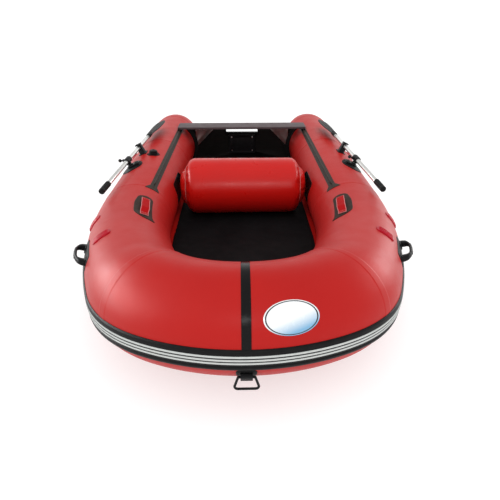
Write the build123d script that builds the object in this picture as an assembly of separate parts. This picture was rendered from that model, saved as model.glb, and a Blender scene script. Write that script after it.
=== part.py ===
"""Inflatable dinghy: two side tubes and a raised bow tube round an air floor, with a
transom for an outboard motor, a sliding bench seat, a loose inflatable thwart and a
pair of oars stowed along the tubes.

Frame: origin on the ground under the middle of the boat, bow towards -Y, +Z up.
Port is +X and starboard is -X. Lengths are millimetres, angles are degrees.
On a tube section, angle 0 is the outer side, 90 the top and 180 the inner side.
"""
from build123d import *
from math import cos, degrees, exp, pi, radians, sin
import os

# ---- hull form ----
TUBE_R = 225.0  # inflated radius of the buoyancy tubes
HALF_SPACING = 687.0  # centre line of the boat to a side tube's axis
SIDE_Z = 232.0  # height of the side tubes' axis
SHOULDER_Y = -359.0  # where a straight side meets the bow curve
FRONT_R, FRONT_TURN = 634.0, 26.3  # bow curve across the front, and the turn where it ends
CORNER_R, CORNER_TURN = 449.0, 65.6  # tighter curve of the bow corners
BOW_RISE = 109.0  # how far the bow tube's axis climbs above the side tubes'
CORNER_SWELL, SWELL_SPREAD = 12.0, 21.8  # the fabric swells where the bow turns tightest
CONE_START_Y, CONE_END_Y, CONE_END_R = 1460.0, 1785.0, 140.0
END_CAP = 14.0  # moulded cap on the end of each stern cone
WALL = 3.0  # coated fabric with its seam tapes
GLUE = 0.3  # adhesive between a fitting and the fabric under it

# ---- strips glued to the tubes ----
STRAKE_HIGH, STRAKE_LOW, STRAKE_THICK = 10.0, -16.0, 7.0
STRAKE_END_Y = 1420.0
STRIPE_ANGLES = (2.6, -1.3, -5.2)
STRIPE_HALF_ANGLE, STRIPE_THICK = 1.1, 1.0
TAPE_WIDTH, TAPE_THICK = 36.0, 1.5
CHAFE_ANGLE = 11.0  # half the chafe strip's width round the tube
KEEL_STRIP_SPAN = (-1275, 1205)

# ---- bottom and floor ----
SKIN_THICK = 3.0
KEEL_HALF_WIDTH, KEEL_TOP_Z = 75.0, 28.0
FLOOR_INSET, FLOOR_BACK_Y = 168.0, 1190.0
FLOOR_Z, FLOOR_TOP_Z = 30.0, 76.0
MAT_MARGIN, MAT_THICK = 48.0, 4.0

# ---- transom ----
TRANSOM_Y, TRANSOM_THICK = 1200.0, 27.0  # front face and thickness
TRANSOM_LOW_Z, TRANSOM_TOP_Z = 32.0, 436.0
NOTCH_HALF_WIDTH, NOTCH_Z = 155.0, 356.0
TRIM_THICK, TRIM_DEPTH = 3.0, 16.0
HOLDER_THICK, HOLDER_LENGTH = 8.0, 96.0
PAD_HALF_WIDTH, PAD_LOW_Z, PAD_THICK = 130.0, 150.0, 8.0
BOLT_R, BOLT_HEAD_R = 4.0, 8.0
BOLT_RECESS_R, BOLT_RECESS = 11.0, 6.0  # room for a bolt's head or nut below a pad's face
BOLT_SPACING_X, BOLT_SPACING_Z = 200.0, 130.0
KNEE_THICK = 5.0
DRAIN_R, DRAIN_X, DRAIN_Z = 14.0, -330.0, 112.0
TOW_EYE_X, TOW_EYE_Z, TOW_EYE_R = 330.0, 190.0, 5.0

# ---- seat and thwart ----
RAIL_ANGLE = 121.0
RAIL_FRONT_Y, RAIL_BACK_Y = -345.0, 1145.0
RAIL_HALF_ANGLE, RAIL_THICK = 5.8, 5.0
BEAD_R, BEAD_NECK, BEAD_LIFT = 6.0, 5.0, 14.0
SLIDE_FIT = 0.6  # clearance of the seat's slides on the rail beads
SEAT_Y, SEAT_DEPTH, SEAT_THICK = 1045.0, 170.0, 18.0
SEAT_HALF_LENGTH, SEAT_TOP_Z = 584.0, 467.0
SLIDE_LENGTH = 150.0
THWART_Y, THWART_R, THWART_HALF_LENGTH, THWART_EDGE_R = 30.0, 199.0, 456.5, 85.0
THWART_Z = FLOOR_TOP_Z + MAT_THICK + GLUE + THWART_R

# ---- rowlocks and oars ----
ROWLOCK_Y, ROWLOCK_ANGLE = 0.0, 64.0
OAR_LIFT, OAR_TILT = 52.0, 5.0  # shaft above the tube, and its stowed slant
OAR_R, OAR_WALL = 15.0, 1.5
OAR_FORE, OAR_AFT = 520.0, 560.0  # pivot to the grip's end, and to the blade's root
GRIP_LENGTH, GRIP_R = 125.0, 18.5
BLADE_LENGTH, BLADE_HALF_WIDTH, BLADE_THICK = 400.0, 68.0, 7.0
COLLAR_R, COLLAR_LENGTH = 22.0, 70.0
PIN_R, PIN_FIT = 6.0, 0.05
CLIP_AFT = 285.0  # pivot to the clip that holds the shaft

OUT = "parts"
UP = Vector(0, 0, 1)


# ---------------------------------------------------------------- tube geometry
def side_curve_r():
    """Radius of the gentle curve between a bow corner and the shoulder."""
    front, corner = radians(FRONT_TURN), radians(CORNER_TURN)
    reach = FRONT_R * sin(front) + CORNER_R * (sin(corner) - sin(front))
    return (HALF_SPACING - reach) / (1 - sin(corner))


SIDE_CURVE_R = side_curve_r()
BOW_STEPS = 14  # loft sections from the bow's tip to a shoulder
BOW_ARCS = (
    (radians(FRONT_TURN), FRONT_R),
    (radians(CORNER_TURN), CORNER_R),
    (pi / 2, SIDE_CURVE_R),
)


def bow_offset(turn):
    """Distances across and aft from the bow's tip to where the axis has turned so far."""
    across = aft = start = 0.0
    for end, radius in BOW_ARCS:
        stop = min(radians(abs(turn)), end)
        across += radius * (sin(stop) - sin(start))
        aft += radius * (cos(start) - cos(stop))
        start = stop
    return across, aft


BOW_LENGTH = bow_offset(90)[1]
BOW_TIP_Y = SHOULDER_Y - BOW_LENGTH


def bow_station(turn):
    """The bow tube's axis point, outward direction, radius and run of the axis towards the
    stern, where the plan has turned this far; the turn is 0 at the tip, positive to port."""
    side = -1 if turn < 0 else 1
    turned = radians(abs(turn))
    across, aft = bow_offset(turn)
    ahead = (BOW_LENGTH - aft) / BOW_LENGTH
    slope = -2 * BOW_RISE * ahead / BOW_LENGTH * sin(turned)
    swell = ((abs(turn) - (FRONT_TURN + CORNER_TURN) / 2) / SWELL_SPREAD) ** 2
    centre = Vector(side * across, BOW_TIP_Y + aft, SIDE_Z + BOW_RISE * ahead**2)
    outward = Vector(side * sin(turned), -cos(turned), 0)
    along = Vector(side * cos(turned), sin(turned), slope).normalized()
    return centre, outward, TUBE_R + CORNER_SWELL * exp(-swell), along


def side_station(side, y):
    """The same four values on a straight side tube."""
    return Vector(side * HALF_SPACING, y, SIDE_Z), Vector(side, 0, 0), TUBE_R, Vector(0, 1, 0)


def skin_point(station, angle, lift=0.0):
    centre, outward, radius, _ = station
    reach = radius + lift
    return centre + outward * (reach * cos(radians(angle))) + UP * (reach * sin(radians(angle)))


def skin_plane(station, angle, lift=0.0):
    """Plane on the tube: X along the tube towards the stern, Z out of the fabric."""
    _, outward, _, along = station
    normal = outward * cos(radians(angle)) + UP * sin(radians(angle))
    normal = (normal - along * normal.dot(along)).normalized()
    return Plane(origin=skin_point(station, angle, lift), x_dir=along, z_dir=normal)


def turn_after(distance):
    """Turn of the bow's plan after this distance along the tube's axis from the tip."""
    start, left = 0.0, abs(distance)
    for end, radius in BOW_ARCS:
        length = radius * (end - start)
        if left <= length:
            break
        start, left = end, left - length
    turn = min(90.0, degrees(start + left / radius))
    return turn if distance >= 0 else -turn


ARC_STARTS = (0, radians(FRONT_TURN), radians(CORNER_TURN))
BOW_HALF_LENGTH = sum(radius * (end - start) for (end, radius), start in zip(BOW_ARCS, ARC_STARTS))


def bow_turns():
    """Turns of the loft's sections, evenly spaced along the tube's axis."""
    return [turn_after(BOW_HALF_LENGTH * i / BOW_STEPS) for i in range(-BOW_STEPS, BOW_STEPS + 1)]


def port_station(y):
    """A section of the port tube near the shoulder, on the bow curve or on the straight side."""
    if y >= SHOULDER_Y:
        return side_station(1, y)
    return bow_station(turn_after(BOW_HALF_LENGTH - (SHOULDER_Y - y)))


def band_section(station, low, high, inner, outer):
    """Closed section of a strip that lies on the tube between two angles."""
    middle = (low + high) / 2

    def at(angle, lift):
        return skin_point(station, angle, lift)

    return Wire(
        [
            Edge.make_three_point_arc(at(low, outer), at(middle, outer), at(high, outer)),
            Edge.make_line(at(high, outer), at(high, inner)),
            Edge.make_three_point_arc(at(high, inner), at(middle, inner), at(low, inner)),
            Edge.make_line(at(low, inner), at(low, outer)),
        ]
    )


def band(stations, low, high, inner, outer):
    straight = len(stations) == 2
    sections = [band_section(s, low, high, inner, outer) for s in stations]
    return Solid.make_loft(sections, straight)


def both_sides(shape):
    """A starboard copy beside a port fitting."""
    return Compound([*shape.solids(), *mirror(shape, about=Plane.YZ).solids()])


def patch(stations, angle, half_angle, plane, outline, thick, inner=GLUE):
    """A thin piece glued on the tube, cut to an outline drawn on its tangent plane."""
    sheet = band(stations, angle - half_angle, angle + half_angle, inner, inner + thick)
    cutter = extrude(plane * outline, amount=120, both=True)
    return sheet & cutter


# ---------------------------------------------------------------- chambers
def circle_wire(station, shrink):
    centre, outward, radius, _ = station
    section = Plane(origin=centre, x_dir=outward, z_dir=outward.cross(UP))
    return Wire.make_circle(radius - shrink, section)


def bow_chamber():
    """Curved tube; the side chambers' front walls are the baffles that close its ends."""
    stations = [bow_station(t) for t in bow_turns()]
    outer = Solid.make_loft([circle_wire(s, 0) for s in stations], False)
    inner = Solid.make_loft([circle_wire(s, WALL) for s in stations], False)
    return outer - inner


def side_profile(radius, start_y, end_y, end_r):
    """Half section of a side tube with its tapered stern cone, about the Y axis."""
    with BuildSketch() as sketch:
        with BuildLine():
            Line((0, start_y), (radius, start_y))
            Line((radius, start_y), (radius, CONE_START_Y))
            taper = TangentArc((radius, CONE_START_Y), (end_r, end_y), tangent=(0, 1))
            Line(taper @ 1, (0, end_y))
            Line((0, end_y), (0, start_y))
        make_face()
    return sketch.sketch


def side_chamber(side):
    """Straight tube with its stern cone and a baffle wall in front."""
    outer = side_profile(TUBE_R, SHOULDER_Y, CONE_END_Y, CONE_END_R)
    inner = side_profile(TUBE_R - WALL, SHOULDER_Y + WALL, CONE_END_Y - WALL, CONE_END_R - WALL)
    shell = revolve(outer, Axis.Y) - revolve(inner, Axis.Y)
    return Pos(side * HALF_SPACING, 0, SIDE_Z) * shell


def stern_end_caps():
    """Moulded rubber caps glued over the ends of the stern cones."""
    disc = Pos(HALF_SPACING, CONE_END_Y + GLUE, SIDE_Z) * Rot(-90, 0, 0) * Cylinder(
        CONE_END_R - 6, END_CAP, align=(Align.CENTER, Align.CENTER, Align.MIN)
    )
    outer_rim = disc.edges().filter_by(GeomType.CIRCLE).sort_by(Axis.Y)[-1]
    return both_sides(fillet(outer_rim, 9))


# ---------------------------------------------------------------- strips on the tubes
def bow_band(low, high, inner, outer):
    return band([bow_station(t) for t in bow_turns()], low, high, inner, outer)


def side_band(side, low, high, inner, outer, start_y, end_y):
    ends = [side_station(side, start_y), side_station(side, end_y)]
    return band(ends, low, high, inner, outer)


def strake_lengths(low, high, inner, outer):
    """A strip right round the hull: one length round the bow and one along each side."""
    bow = bow_band(low, high, inner, outer)
    sides = [
        side_band(s, low, high, inner, outer, SHOULDER_Y + GLUE, STRAKE_END_Y) for s in (-1, 1)
    ]
    return Compound([bow, *sides])


def rub_strake():
    return strake_lengths(STRAKE_LOW, STRAKE_HIGH, GLUE, GLUE + STRAKE_THICK)


def strake_stripes():
    top = GLUE + STRAKE_THICK
    stripes = []
    for angle in STRIPE_ANGLES:
        low, high = angle - STRIPE_HALF_ANGLE, angle + STRIPE_HALF_ANGLE
        stripes += strake_lengths(low, high, top + 0.2, top + STRIPE_THICK).solids()
    return Compound(stripes)


def bow_seam_tape():
    """Tape over the join in the bow tube's cover, from the strake over the top."""
    turn = degrees(TAPE_WIDTH / 2 / (FRONT_R + TUBE_R))
    stations = [bow_station(t) for t in (-turn, 0, turn)]
    low = STRAKE_HIGH + 0.5
    return band(stations, low, 165, GLUE, GLUE + TAPE_THICK)


def chafe_strips():
    """Flat-soled rubber strips that carry the side tubes and the keel on the ground."""
    half_width = TUBE_R * sin(radians(CHAFE_ANGLE))
    x_span = (HALF_SPACING - half_width, HALF_SPACING + half_width)
    length = CONE_START_Y - SHOULDER_Y
    strip = block(x_span, (SHOULDER_Y, CONE_START_Y), (0, 16))
    strip -= Pos(HALF_SPACING, 0, SIDE_Z) * Rot(90, 0, 0) * Cylinder(TUBE_R + GLUE, 3 * length)
    keel = block((-32, 32), KEEL_STRIP_SPAN, (0, keel_height(0) - GLUE))
    return Compound([*both_sides(strip).solids(), keel.solid()])


# ---------------------------------------------------------------- bottom and floor
def floor_outline(inset, back_y):
    """Plan of the floor: it keeps the same distance inside the tubes' axes all the way round."""

    def plan_point(turn):
        centre, outward = bow_station(turn)[:2]
        point = centre - outward * inset
        return point.X, point.Y

    turns = [90, CORNER_TURN, FRONT_TURN, -FRONT_TURN, -CORNER_TURN, -90]
    port, starboard = plan_point(90), plan_point(-90)
    with BuildSketch() as sketch:
        with BuildLine():
            for start, end in zip(turns, turns[1:]):
                ThreePointArc(plan_point(start), plan_point((start + end) / 2), plan_point(end))
            Polyline(starboard, (starboard[0], back_y), (port[0], back_y), port)
        make_face()
    return sketch.sketch


def air_floor():
    """Drop-stitch floor panel, hollow inside its skins."""
    height = FLOOR_TOP_Z - FLOOR_Z
    panel = Pos(0, 0, FLOOR_Z) * extrude(floor_outline(FLOOR_INSET, FLOOR_BACK_Y), amount=height)
    panel = fillet(panel.faces().sort_by(Axis.Z)[-1].edges(), 12)
    room = floor_outline(FLOOR_INSET + 7, FLOOR_BACK_Y - 7)
    hollow = Pos(0, 0, FLOOR_Z + WALL) * extrude(room, amount=height - 2 * WALL - 3)
    return panel - hollow


def floor_mat():
    """Mat on the floor, with a clear hole round the floor valve."""
    plan = floor_outline(FLOOR_INSET + MAT_MARGIN, FLOOR_BACK_Y - MAT_MARGIN / 2)
    mat = Pos(0, 0, FLOOR_TOP_Z) * extrude(plan, amount=MAT_THICK)
    at = VALVE_PLANES["floor"].origin
    return mat - post(VALVE_R + 16, FLOOR_TOP_Z - 5, FLOOR_TOP_Z + 20, at.X, at.Y)


def skin_sections():
    """Sections of the bottom skin from the bow aft: half width, edge height and keel height."""
    turns = [12, 20, 28, 36, 45, 55, 65.6, 74, 82, 90]
    stations = [bow_station(t) for t in turns] + [side_station(1, TRANSOM_Y + TRANSOM_THICK)]
    edges = [skin_point(station, -102, 1.2) for station in stations]
    return [(e.X, e.Y, e.Z - SKIN_THICK) for e in edges]


def keel_height(y):
    """Underside of the skin on the centre line: flat aft, then climbing to the stem."""
    start_y = -1290
    climb = max(0.0, (start_y - y) / (start_y - BOW_TIP_Y))
    return 4.0 + 92.0 * climb**2


STEM_RUN, STEM_DROP = 40, 8


def skin_wire(x, y, edge_z, keel_z):
    """One section of the bottom skin."""
    keel = min(KEEL_HALF_WIDTH, 0.4 * x)
    bilge_z = keel_z + 0.16 * max(0.0, edge_z - keel_z)
    low = [(-x, edge_z), (-0.84 * x, bilge_z), (-keel, keel_z)]
    low += [(keel, keel_z), (0.84 * x, bilge_z), (x, edge_z)]
    high = [(px, pz + SKIN_THICK) for px, pz in reversed(low)]
    return Wire.make_polygon([(px, y, pz) for px, pz in low + high])


def bottom_skin():
    """Fabric hull bottom from tube to tube, full under the floor and closed up at the stem."""
    sections = skin_sections()
    x, y, edge_z = sections[0]
    wires = [skin_wire(x, y - STEM_RUN, edge_z - STEM_DROP, edge_z - STEM_DROP)]
    wires += [skin_wire(x, y, edge_z, keel_height(y)) for x, y, edge_z in sections]
    return Solid.make_loft(wires, True)


def keel_tube():
    """Flattened inflatable keel between the bottom skin and the floor."""
    base_z = keel_height(0) + SKIN_THICK + 1
    height = KEEL_TOP_Z - base_z
    section = Plane.XZ * Pos(0, base_z + height / 2) * SlotOverall(2 * KEEL_HALF_WIDTH, height)
    return Pos(0, 1150, 0) * extrude(section, amount=2400)


# ---------------------------------------------------------------- transom
def rod_y(x, z, radius, y_from, y_to):
    """Cylinder along Y."""
    middle = (y_from + y_to) / 2
    return Pos(x, middle, z) * Rot(90, 0, 0) * Cylinder(radius, abs(y_to - y_from))


def block(x_span, y_span, z_span):
    """Box given by its limits."""
    size = [b - a for a, b in (x_span, y_span, z_span)]
    centre = [(a + b) / 2 for a, b in (x_span, y_span, z_span)]
    return Pos(*centre) * Box(*size)


TRANSOM_BACK = TRANSOM_Y + TRANSOM_THICK
BOLT_Z = (PAD_LOW_Z + NOTCH_Z - TRIM_DEPTH) / 2
BOLT_PLACES = [
    (sx * BOLT_SPACING_X / 2, BOLT_Z + sz * BOLT_SPACING_Z / 2) for sx in (-1, 1) for sz in (-1, 1)
]


def tube_space(lift):
    """The room taken by both side tubes and what is glued on them."""
    return [rod_y(s * HALF_SPACING, SIDE_Z, TUBE_R + lift, 0, 1900) for s in (-1, 1)]


def transom_blank():
    board = block((-545, 545), (TRANSOM_Y, TRANSOM_BACK), (TRANSOM_LOW_Z, TRANSOM_TOP_Z))
    notch = block(
        (-NOTCH_HALF_WIDTH, NOTCH_HALF_WIDTH),
        (TRANSOM_Y - 50, TRANSOM_BACK + 50),
        (NOTCH_Z, TRANSOM_TOP_Z + 50),
    )
    return board - notch - tube_space(GLUE + HOLDER_THICK)


def transom_board():
    board = transom_blank()
    for x, z in BOLT_PLACES:
        board -= rod_y(x, z, BOLT_R, TRANSOM_Y - 5, TRANSOM_BACK + 5)
    return board - rod_y(DRAIN_X, DRAIN_Z, DRAIN_R, TRANSOM_Y - 5, TRANSOM_BACK + 5)


def transom_trim():
    """Protective channel over the transom's upper edges and round the motor notch."""
    y_span = (TRANSOM_Y - TRIM_THICK, TRANSOM_BACK + TRIM_THICK)
    inner, outer = NOTCH_HALF_WIDTH - TRIM_THICK, NOTCH_HALF_WIDTH + TRIM_DEPTH
    sill = block((-outer, outer), y_span, (NOTCH_Z - TRIM_DEPTH, NOTCH_Z + TRIM_THICK))
    trim = sill
    for s in (-1, 1):
        side = sorted((s * inner, s * outer))
        top = sorted((s * inner, s * 545))
        trim += block(side, y_span, (NOTCH_Z - TRIM_DEPTH, TRANSOM_TOP_Z + TRIM_THICK))
        trim += block(top, y_span, (TRANSOM_TOP_Z - TRIM_DEPTH, TRANSOM_TOP_Z + TRIM_THICK))
    return trim - transom_blank() - tube_space(GLUE + HOLDER_THICK + 2)


def motor_pad(board_y, face_y):
    """Clamp plate from the board's face to its own, with the bolts' ends let into it."""
    y_span = sorted((board_y, face_y))
    pad = block((-PAD_HALF_WIDTH, PAD_HALF_WIDTH), y_span, (PAD_LOW_Z, NOTCH_Z - TRIM_DEPTH - 2))
    pad = fillet(pad.edges().filter_by(Axis.Y), 12)
    inward = 1 if board_y > face_y else -1
    for x, z in BOLT_PLACES:
        pad -= rod_y(x, z, BOLT_R, y_span[0] - 5, y_span[1] + 5)
        pad -= rod_y(x, z, BOLT_RECESS_R, face_y - 5 * inward, face_y + BOLT_RECESS * inward)
    return pad


PAD_FRONT, PAD_BACK = TRANSOM_Y - PAD_THICK, TRANSOM_BACK + PAD_THICK


def motor_pads():
    """Clamp plates on the front and the back of the transom, under the notch."""
    front, back = motor_pad(TRANSOM_Y, PAD_FRONT), motor_pad(TRANSOM_BACK, PAD_BACK)
    return Compound([front.solid(), back.solid()])


def transom_bolts():
    """Coach bolts through both motor pads, with a round head aft and a nut in front."""
    nut_y, head_y = PAD_FRONT + BOLT_RECESS, PAD_BACK - BOLT_RECESS
    bolts = []
    for x, z in BOLT_PLACES:
        shank = rod_y(x, z, BOLT_R, PAD_FRONT + 0.4, head_y + 1)
        head = rod_y(x, z, BOLT_HEAD_R + 1, head_y, PAD_BACK - 1)
        nut = Pos(x, nut_y, z) * Rot(90, 0, 0) * extrude(RegularPolygon(BOLT_HEAD_R, 6), amount=5)
        bolts.append(shank + head + nut)
    return Compound([b.solid() for b in bolts])


def transom_knees():
    """Corner plates on the front of the board, behind the ends of the seat."""
    corner_x, top_z, leg = 446.0, 408.0, 190.0
    plan = Polygon((corner_x, top_z), (corner_x - leg, top_z), (corner_x, top_z - leg), align=None)
    plate = Pos(0, TRANSOM_Y, 0) * extrude(Plane.XZ * plan, amount=KNEE_THICK)
    plate = plate - tube_space(GLUE + HOLDER_THICK + 25)
    screws = [(corner_x - 22, top_z - 22), (corner_x - 120, top_z - 16), (corner_x - 16, top_z - 120)]
    for x, z in screws:
        plate += rod_y(x, z, 6, TRANSOM_Y - KNEE_THICK - 2.5, TRANSOM_Y - KNEE_THICK + 1)
    return both_sides(plate)


def transom_holders():
    """Extrusions glued to the tubes, with two jaws that grip the transom's ends."""
    start_y, end_y = TRANSOM_Y - 34, TRANSOM_Y - 34 + HOLDER_LENGTH
    holder = side_band(1, 130, 232, GLUE, GLUE + HOLDER_THICK, start_y, end_y)
    root, tip = GLUE + HOLDER_THICK - 1, GLUE + HOLDER_THICK + 24
    for y in (TRANSOM_Y - 7, TRANSOM_BACK + 3.5):
        jaw = side_band(1, 138, 224, root, tip, y, y + 3.5)
        holder += jaw
    return both_sides(holder)


def drain_socket():
    """Flanged sleeve through the transom, low on the starboard side."""
    sleeve = rod_y(DRAIN_X, DRAIN_Z, DRAIN_R, TRANSOM_Y - 3, TRANSOM_BACK + 3)
    for y in (TRANSOM_Y - 3, TRANSOM_BACK):
        sleeve += rod_y(DRAIN_X, DRAIN_Z, DRAIN_R + 10, y, y + 3)
    return sleeve - rod_y(DRAIN_X, DRAIN_Z, DRAIN_R - 5, TRANSOM_Y - 9, TRANSOM_BACK + 9)


def drain_plug():
    """Rubber bung pushed into the drain from aft, with a finger ring."""
    back = TRANSOM_BACK + 3
    plug = rod_y(DRAIN_X, DRAIN_Z, DRAIN_R - 5 - PIN_FIT, TRANSOM_Y + 4, back + 1)
    plug += rod_y(DRAIN_X, DRAIN_Z, DRAIN_R - 1, back + 0.3, back + 6)
    ring = Pos(DRAIN_X, back + 16, DRAIN_Z) * Rot(0, 90, 0) * Torus(11, 3)
    return plug + ring


def stern_tow_eyes():
    """U-shaped eyes on the back of the transom, with base plates."""
    half_gap, reach = 22.0, 34.0
    plate = block(
        (TOW_EYE_X - 40, TOW_EYE_X + 40),
        (TRANSOM_BACK, TRANSOM_BACK + 4),
        (TOW_EYE_Z - 18, TOW_EYE_Z + 18),
    )
    eye = fillet(plate.edges().filter_by(Axis.Y), 10)
    for s in (-1, 1):
        leg_x = TOW_EYE_X + s * half_gap
        eye += rod_y(leg_x, TOW_EYE_Z, TOW_EYE_R, TRANSOM_BACK + 3, TRANSOM_BACK + reach)
    bend = Pos(TOW_EYE_X, TRANSOM_BACK + reach, TOW_EYE_Z) * Torus(half_gap, TOW_EYE_R)
    front_half = block(
        (TOW_EYE_X - 60, TOW_EYE_X + 60),
        (TRANSOM_BACK - 40, TRANSOM_BACK + reach),
        (TOW_EYE_Z - 20, TOW_EYE_Z + 20),
    )
    return both_sides(eye + (bend - front_half))


# ---------------------------------------------------------------- seat and thwart
def rail_plane(y, lift=0.0):
    return skin_plane(side_station(1, y), RAIL_ANGLE, lift)


def bulb_profile(radius, neck, lift, floor_lift):
    """Bead section in the plane across a rail: a round bead on a narrow neck."""
    neck_height = lift - floor_lift
    stem = Pos(0, floor_lift + neck_height / 2) * Rectangle(neck, neck_height)
    return stem + Pos(0, lift) * Circle(radius)


def along_rail(profile, start_y, end_y):
    """Sweep a section drawn across the rail from one station to another."""
    base = rail_plane(start_y)
    across = Plane(origin=base.origin, x_dir=base.y_dir, z_dir=base.x_dir * -1)
    flipped = across if across.y_dir.Z > 0 else Plane(base.origin, base.y_dir * -1, base.x_dir * -1)
    return extrude(flipped * profile, amount=-(end_y - start_y))


def seat_rails():
    """Glued strips along the tops of the side tubes, with a bead for the seat to slide on."""
    low, high = RAIL_ANGLE - RAIL_HALF_ANGLE, RAIL_ANGLE + RAIL_HALF_ANGLE
    top = GLUE + RAIL_THICK
    rail = side_band(1, low, high, GLUE, top, RAIL_FRONT_Y, RAIL_BACK_Y)
    bead = bulb_profile(BEAD_R, BEAD_NECK, BEAD_LIFT, top - 1.5)
    rail += along_rail(bead, RAIL_FRONT_Y, RAIL_BACK_Y)
    flare = [
        band_section(port_station(RAIL_FRONT_Y + 12), low, high, GLUE, top),
        band_section(port_station(RAIL_FRONT_Y - 12), low - 1.5, high + 1.5, 2 * GLUE, top - 1),
        band_section(port_station(RAIL_FRONT_Y - 58), low - 6, high + 6, 2 * GLUE, top - 2.5),
    ]
    return both_sides(rail + Solid.make_loft(flare, True))


def seat_board():
    board = block(
        (-SEAT_HALF_LENGTH, SEAT_HALF_LENGTH),
        (SEAT_Y - SEAT_DEPTH / 2, SEAT_Y + SEAT_DEPTH / 2),
        (SEAT_TOP_Z - SEAT_THICK, SEAT_TOP_Z),
    )
    board = fillet(board.edges().filter_by(Axis.Z), 20)
    return fillet(board.faces().sort_by(Axis.Z)[-1].edges(), 4)


def seat_slides():
    """Plastic shoes under the seat that hook round the rail beads."""
    start_y, end_y = SEAT_Y - SLIDE_LENGTH / 2, SEAT_Y + SLIDE_LENGTH / 2
    low_lift = GLUE + RAIL_THICK + 1.5
    shoe = along_rail(Pos(0, low_lift + 11) * Rectangle(32, 22), start_y, end_y)
    wedge = block((548, 580), (start_y, end_y), (432, SEAT_TOP_Z - SEAT_THICK))
    bead_room = bulb_profile(BEAD_R + SLIDE_FIT, BEAD_NECK + 2 * SLIDE_FIT, BEAD_LIFT, -2)
    over_board = block((400, 700), (start_y - 9, end_y + 9), (SEAT_TOP_Z - SEAT_THICK, 600))
    tube = rod_y(HALF_SPACING, SIDE_Z, TUBE_R + low_lift, start_y - 9, end_y + 9)
    shoe = shoe + wedge - along_rail(bead_room, start_y - 5, end_y + 5)
    return both_sides(shoe - over_board - tube)


def thwart_bolster():
    """Loose inflated thwart across the cockpit, hollow inside its fabric."""
    lay = Pos(0, THWART_Y, THWART_Z) * Rot(0, 90, 0)
    outer = lay * Cylinder(THWART_R, 2 * THWART_HALF_LENGTH)
    outer = fillet(outer.edges().filter_by(GeomType.CIRCLE), THWART_EDGE_R)
    inner = lay * Cylinder(THWART_R - WALL, 2 * (THWART_HALF_LENGTH - WALL))
    return outer - fillet(inner.edges().filter_by(GeomType.CIRCLE), THWART_EDGE_R - WALL)


WEAR_PATCH_ANGLE = 172


def thwart_mount_patches():
    """Black wear patches on the tubes' inner sides, where the thwart's ends bear."""
    spans = [side_station(1, THWART_Y - 190), side_station(1, THWART_Y + 190)]
    plane = skin_plane(side_station(1, THWART_Y), WEAR_PATCH_ANGLE)
    return both_sides(patch(spans, WEAR_PATCH_ANGLE, 28, plane, RectangleRounded(300, 160, 45), 1.2))


# ---------------------------------------------------------------- valves
VALVE_R, VALVE_HEIGHT = 26.0, 9.0
CAP_R, CAP_HEIGHT = 22.0, 8.0


def valve_body(plane):
    """Flanged valve body with a recess for its cap."""
    flange = Cylinder(VALVE_R + 12, 3, align=(Align.CENTER, Align.CENTER, Align.MIN))
    boss = Cylinder(VALVE_R, VALVE_HEIGHT, align=(Align.CENTER, Align.CENTER, Align.MIN))
    recess = Pos(0, 0, 4) * Cylinder(
        CAP_R + PIN_FIT, VALVE_HEIGHT, align=(Align.CENTER, Align.CENTER, Align.MIN)
    )
    return plane.location * (flange + boss - recess)


def valve_cap(plane):
    """Quarter-turn cap with a finger bar across it."""
    disc = Pos(0, 0, 4 + 0.3) * Cylinder(
        CAP_R, CAP_HEIGHT, align=(Align.CENTER, Align.CENTER, Align.MIN)
    )
    bar = Pos(0, 0, 4.3 + CAP_HEIGHT + 2.5) * Box(2 * CAP_R - 8, 7, 6)
    return plane.location * (disc + bar)


VALVE_LIFT = GLUE + 0.5
STERN_VALVE_Y, STERN_VALVE_ANGLE = 1345.0, 158.0
BOW_VALVE_TURN, BOW_VALVE_ANGLE = 14.0, 150.0
VALVE_PLANES = {
    "port": skin_plane(side_station(1, STERN_VALVE_Y), STERN_VALVE_ANGLE, VALVE_LIFT),
    "starboard": skin_plane(side_station(-1, STERN_VALVE_Y), STERN_VALVE_ANGLE, VALVE_LIFT),
    "bow": skin_plane(bow_station(BOW_VALVE_TURN), BOW_VALVE_ANGLE, VALVE_LIFT + 2.0),
    "floor": Plane(
        origin=(-400, FLOOR_BACK_Y - 84, FLOOR_TOP_Z + GLUE),
        x_dir=(1, 0, 0),
        z_dir=(0, 0, 1),
    ),
}
THWART_VALVE_DIP = radians(25)
THWART_VALVE_PLANE = Plane(
    origin=(
        250,
        THWART_Y + (THWART_R + 0.5) * cos(THWART_VALVE_DIP),
        THWART_Z - (THWART_R + 0.5) * sin(THWART_VALVE_DIP),
    ),
    x_dir=(1, 0, 0),
    z_dir=(0, cos(THWART_VALVE_DIP), -sin(THWART_VALVE_DIP)),
)


# ---------------------------------------------------------------- rowlocks and oars
def rowlock_plane(side, lift=0.0):
    return skin_plane(side_station(side, ROWLOCK_Y), ROWLOCK_ANGLE, lift)


def oar_plane(side):
    """Plane of an oar's swing, on its shaft's axis: X towards the blade, Z away from the tube."""
    base = rowlock_plane(side, OAR_LIFT)
    inboard = base.y_dir * side
    towards_blade = base.x_dir * cos(radians(OAR_TILT)) + inboard * sin(radians(OAR_TILT))
    return Plane(origin=base.origin, x_dir=towards_blade, z_dir=base.z_dir)


def rod_x(radius, x_from, x_to):
    return Pos((x_from + x_to) / 2, 0, 0) * Rot(0, 90, 0) * Cylinder(radius, x_to - x_from)


def post(radius, z_from, z_to, x=0.0, y=0.0):
    return Pos(x, y, (z_from + z_to) / 2) * Cylinder(radius, z_to - z_from)


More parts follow.
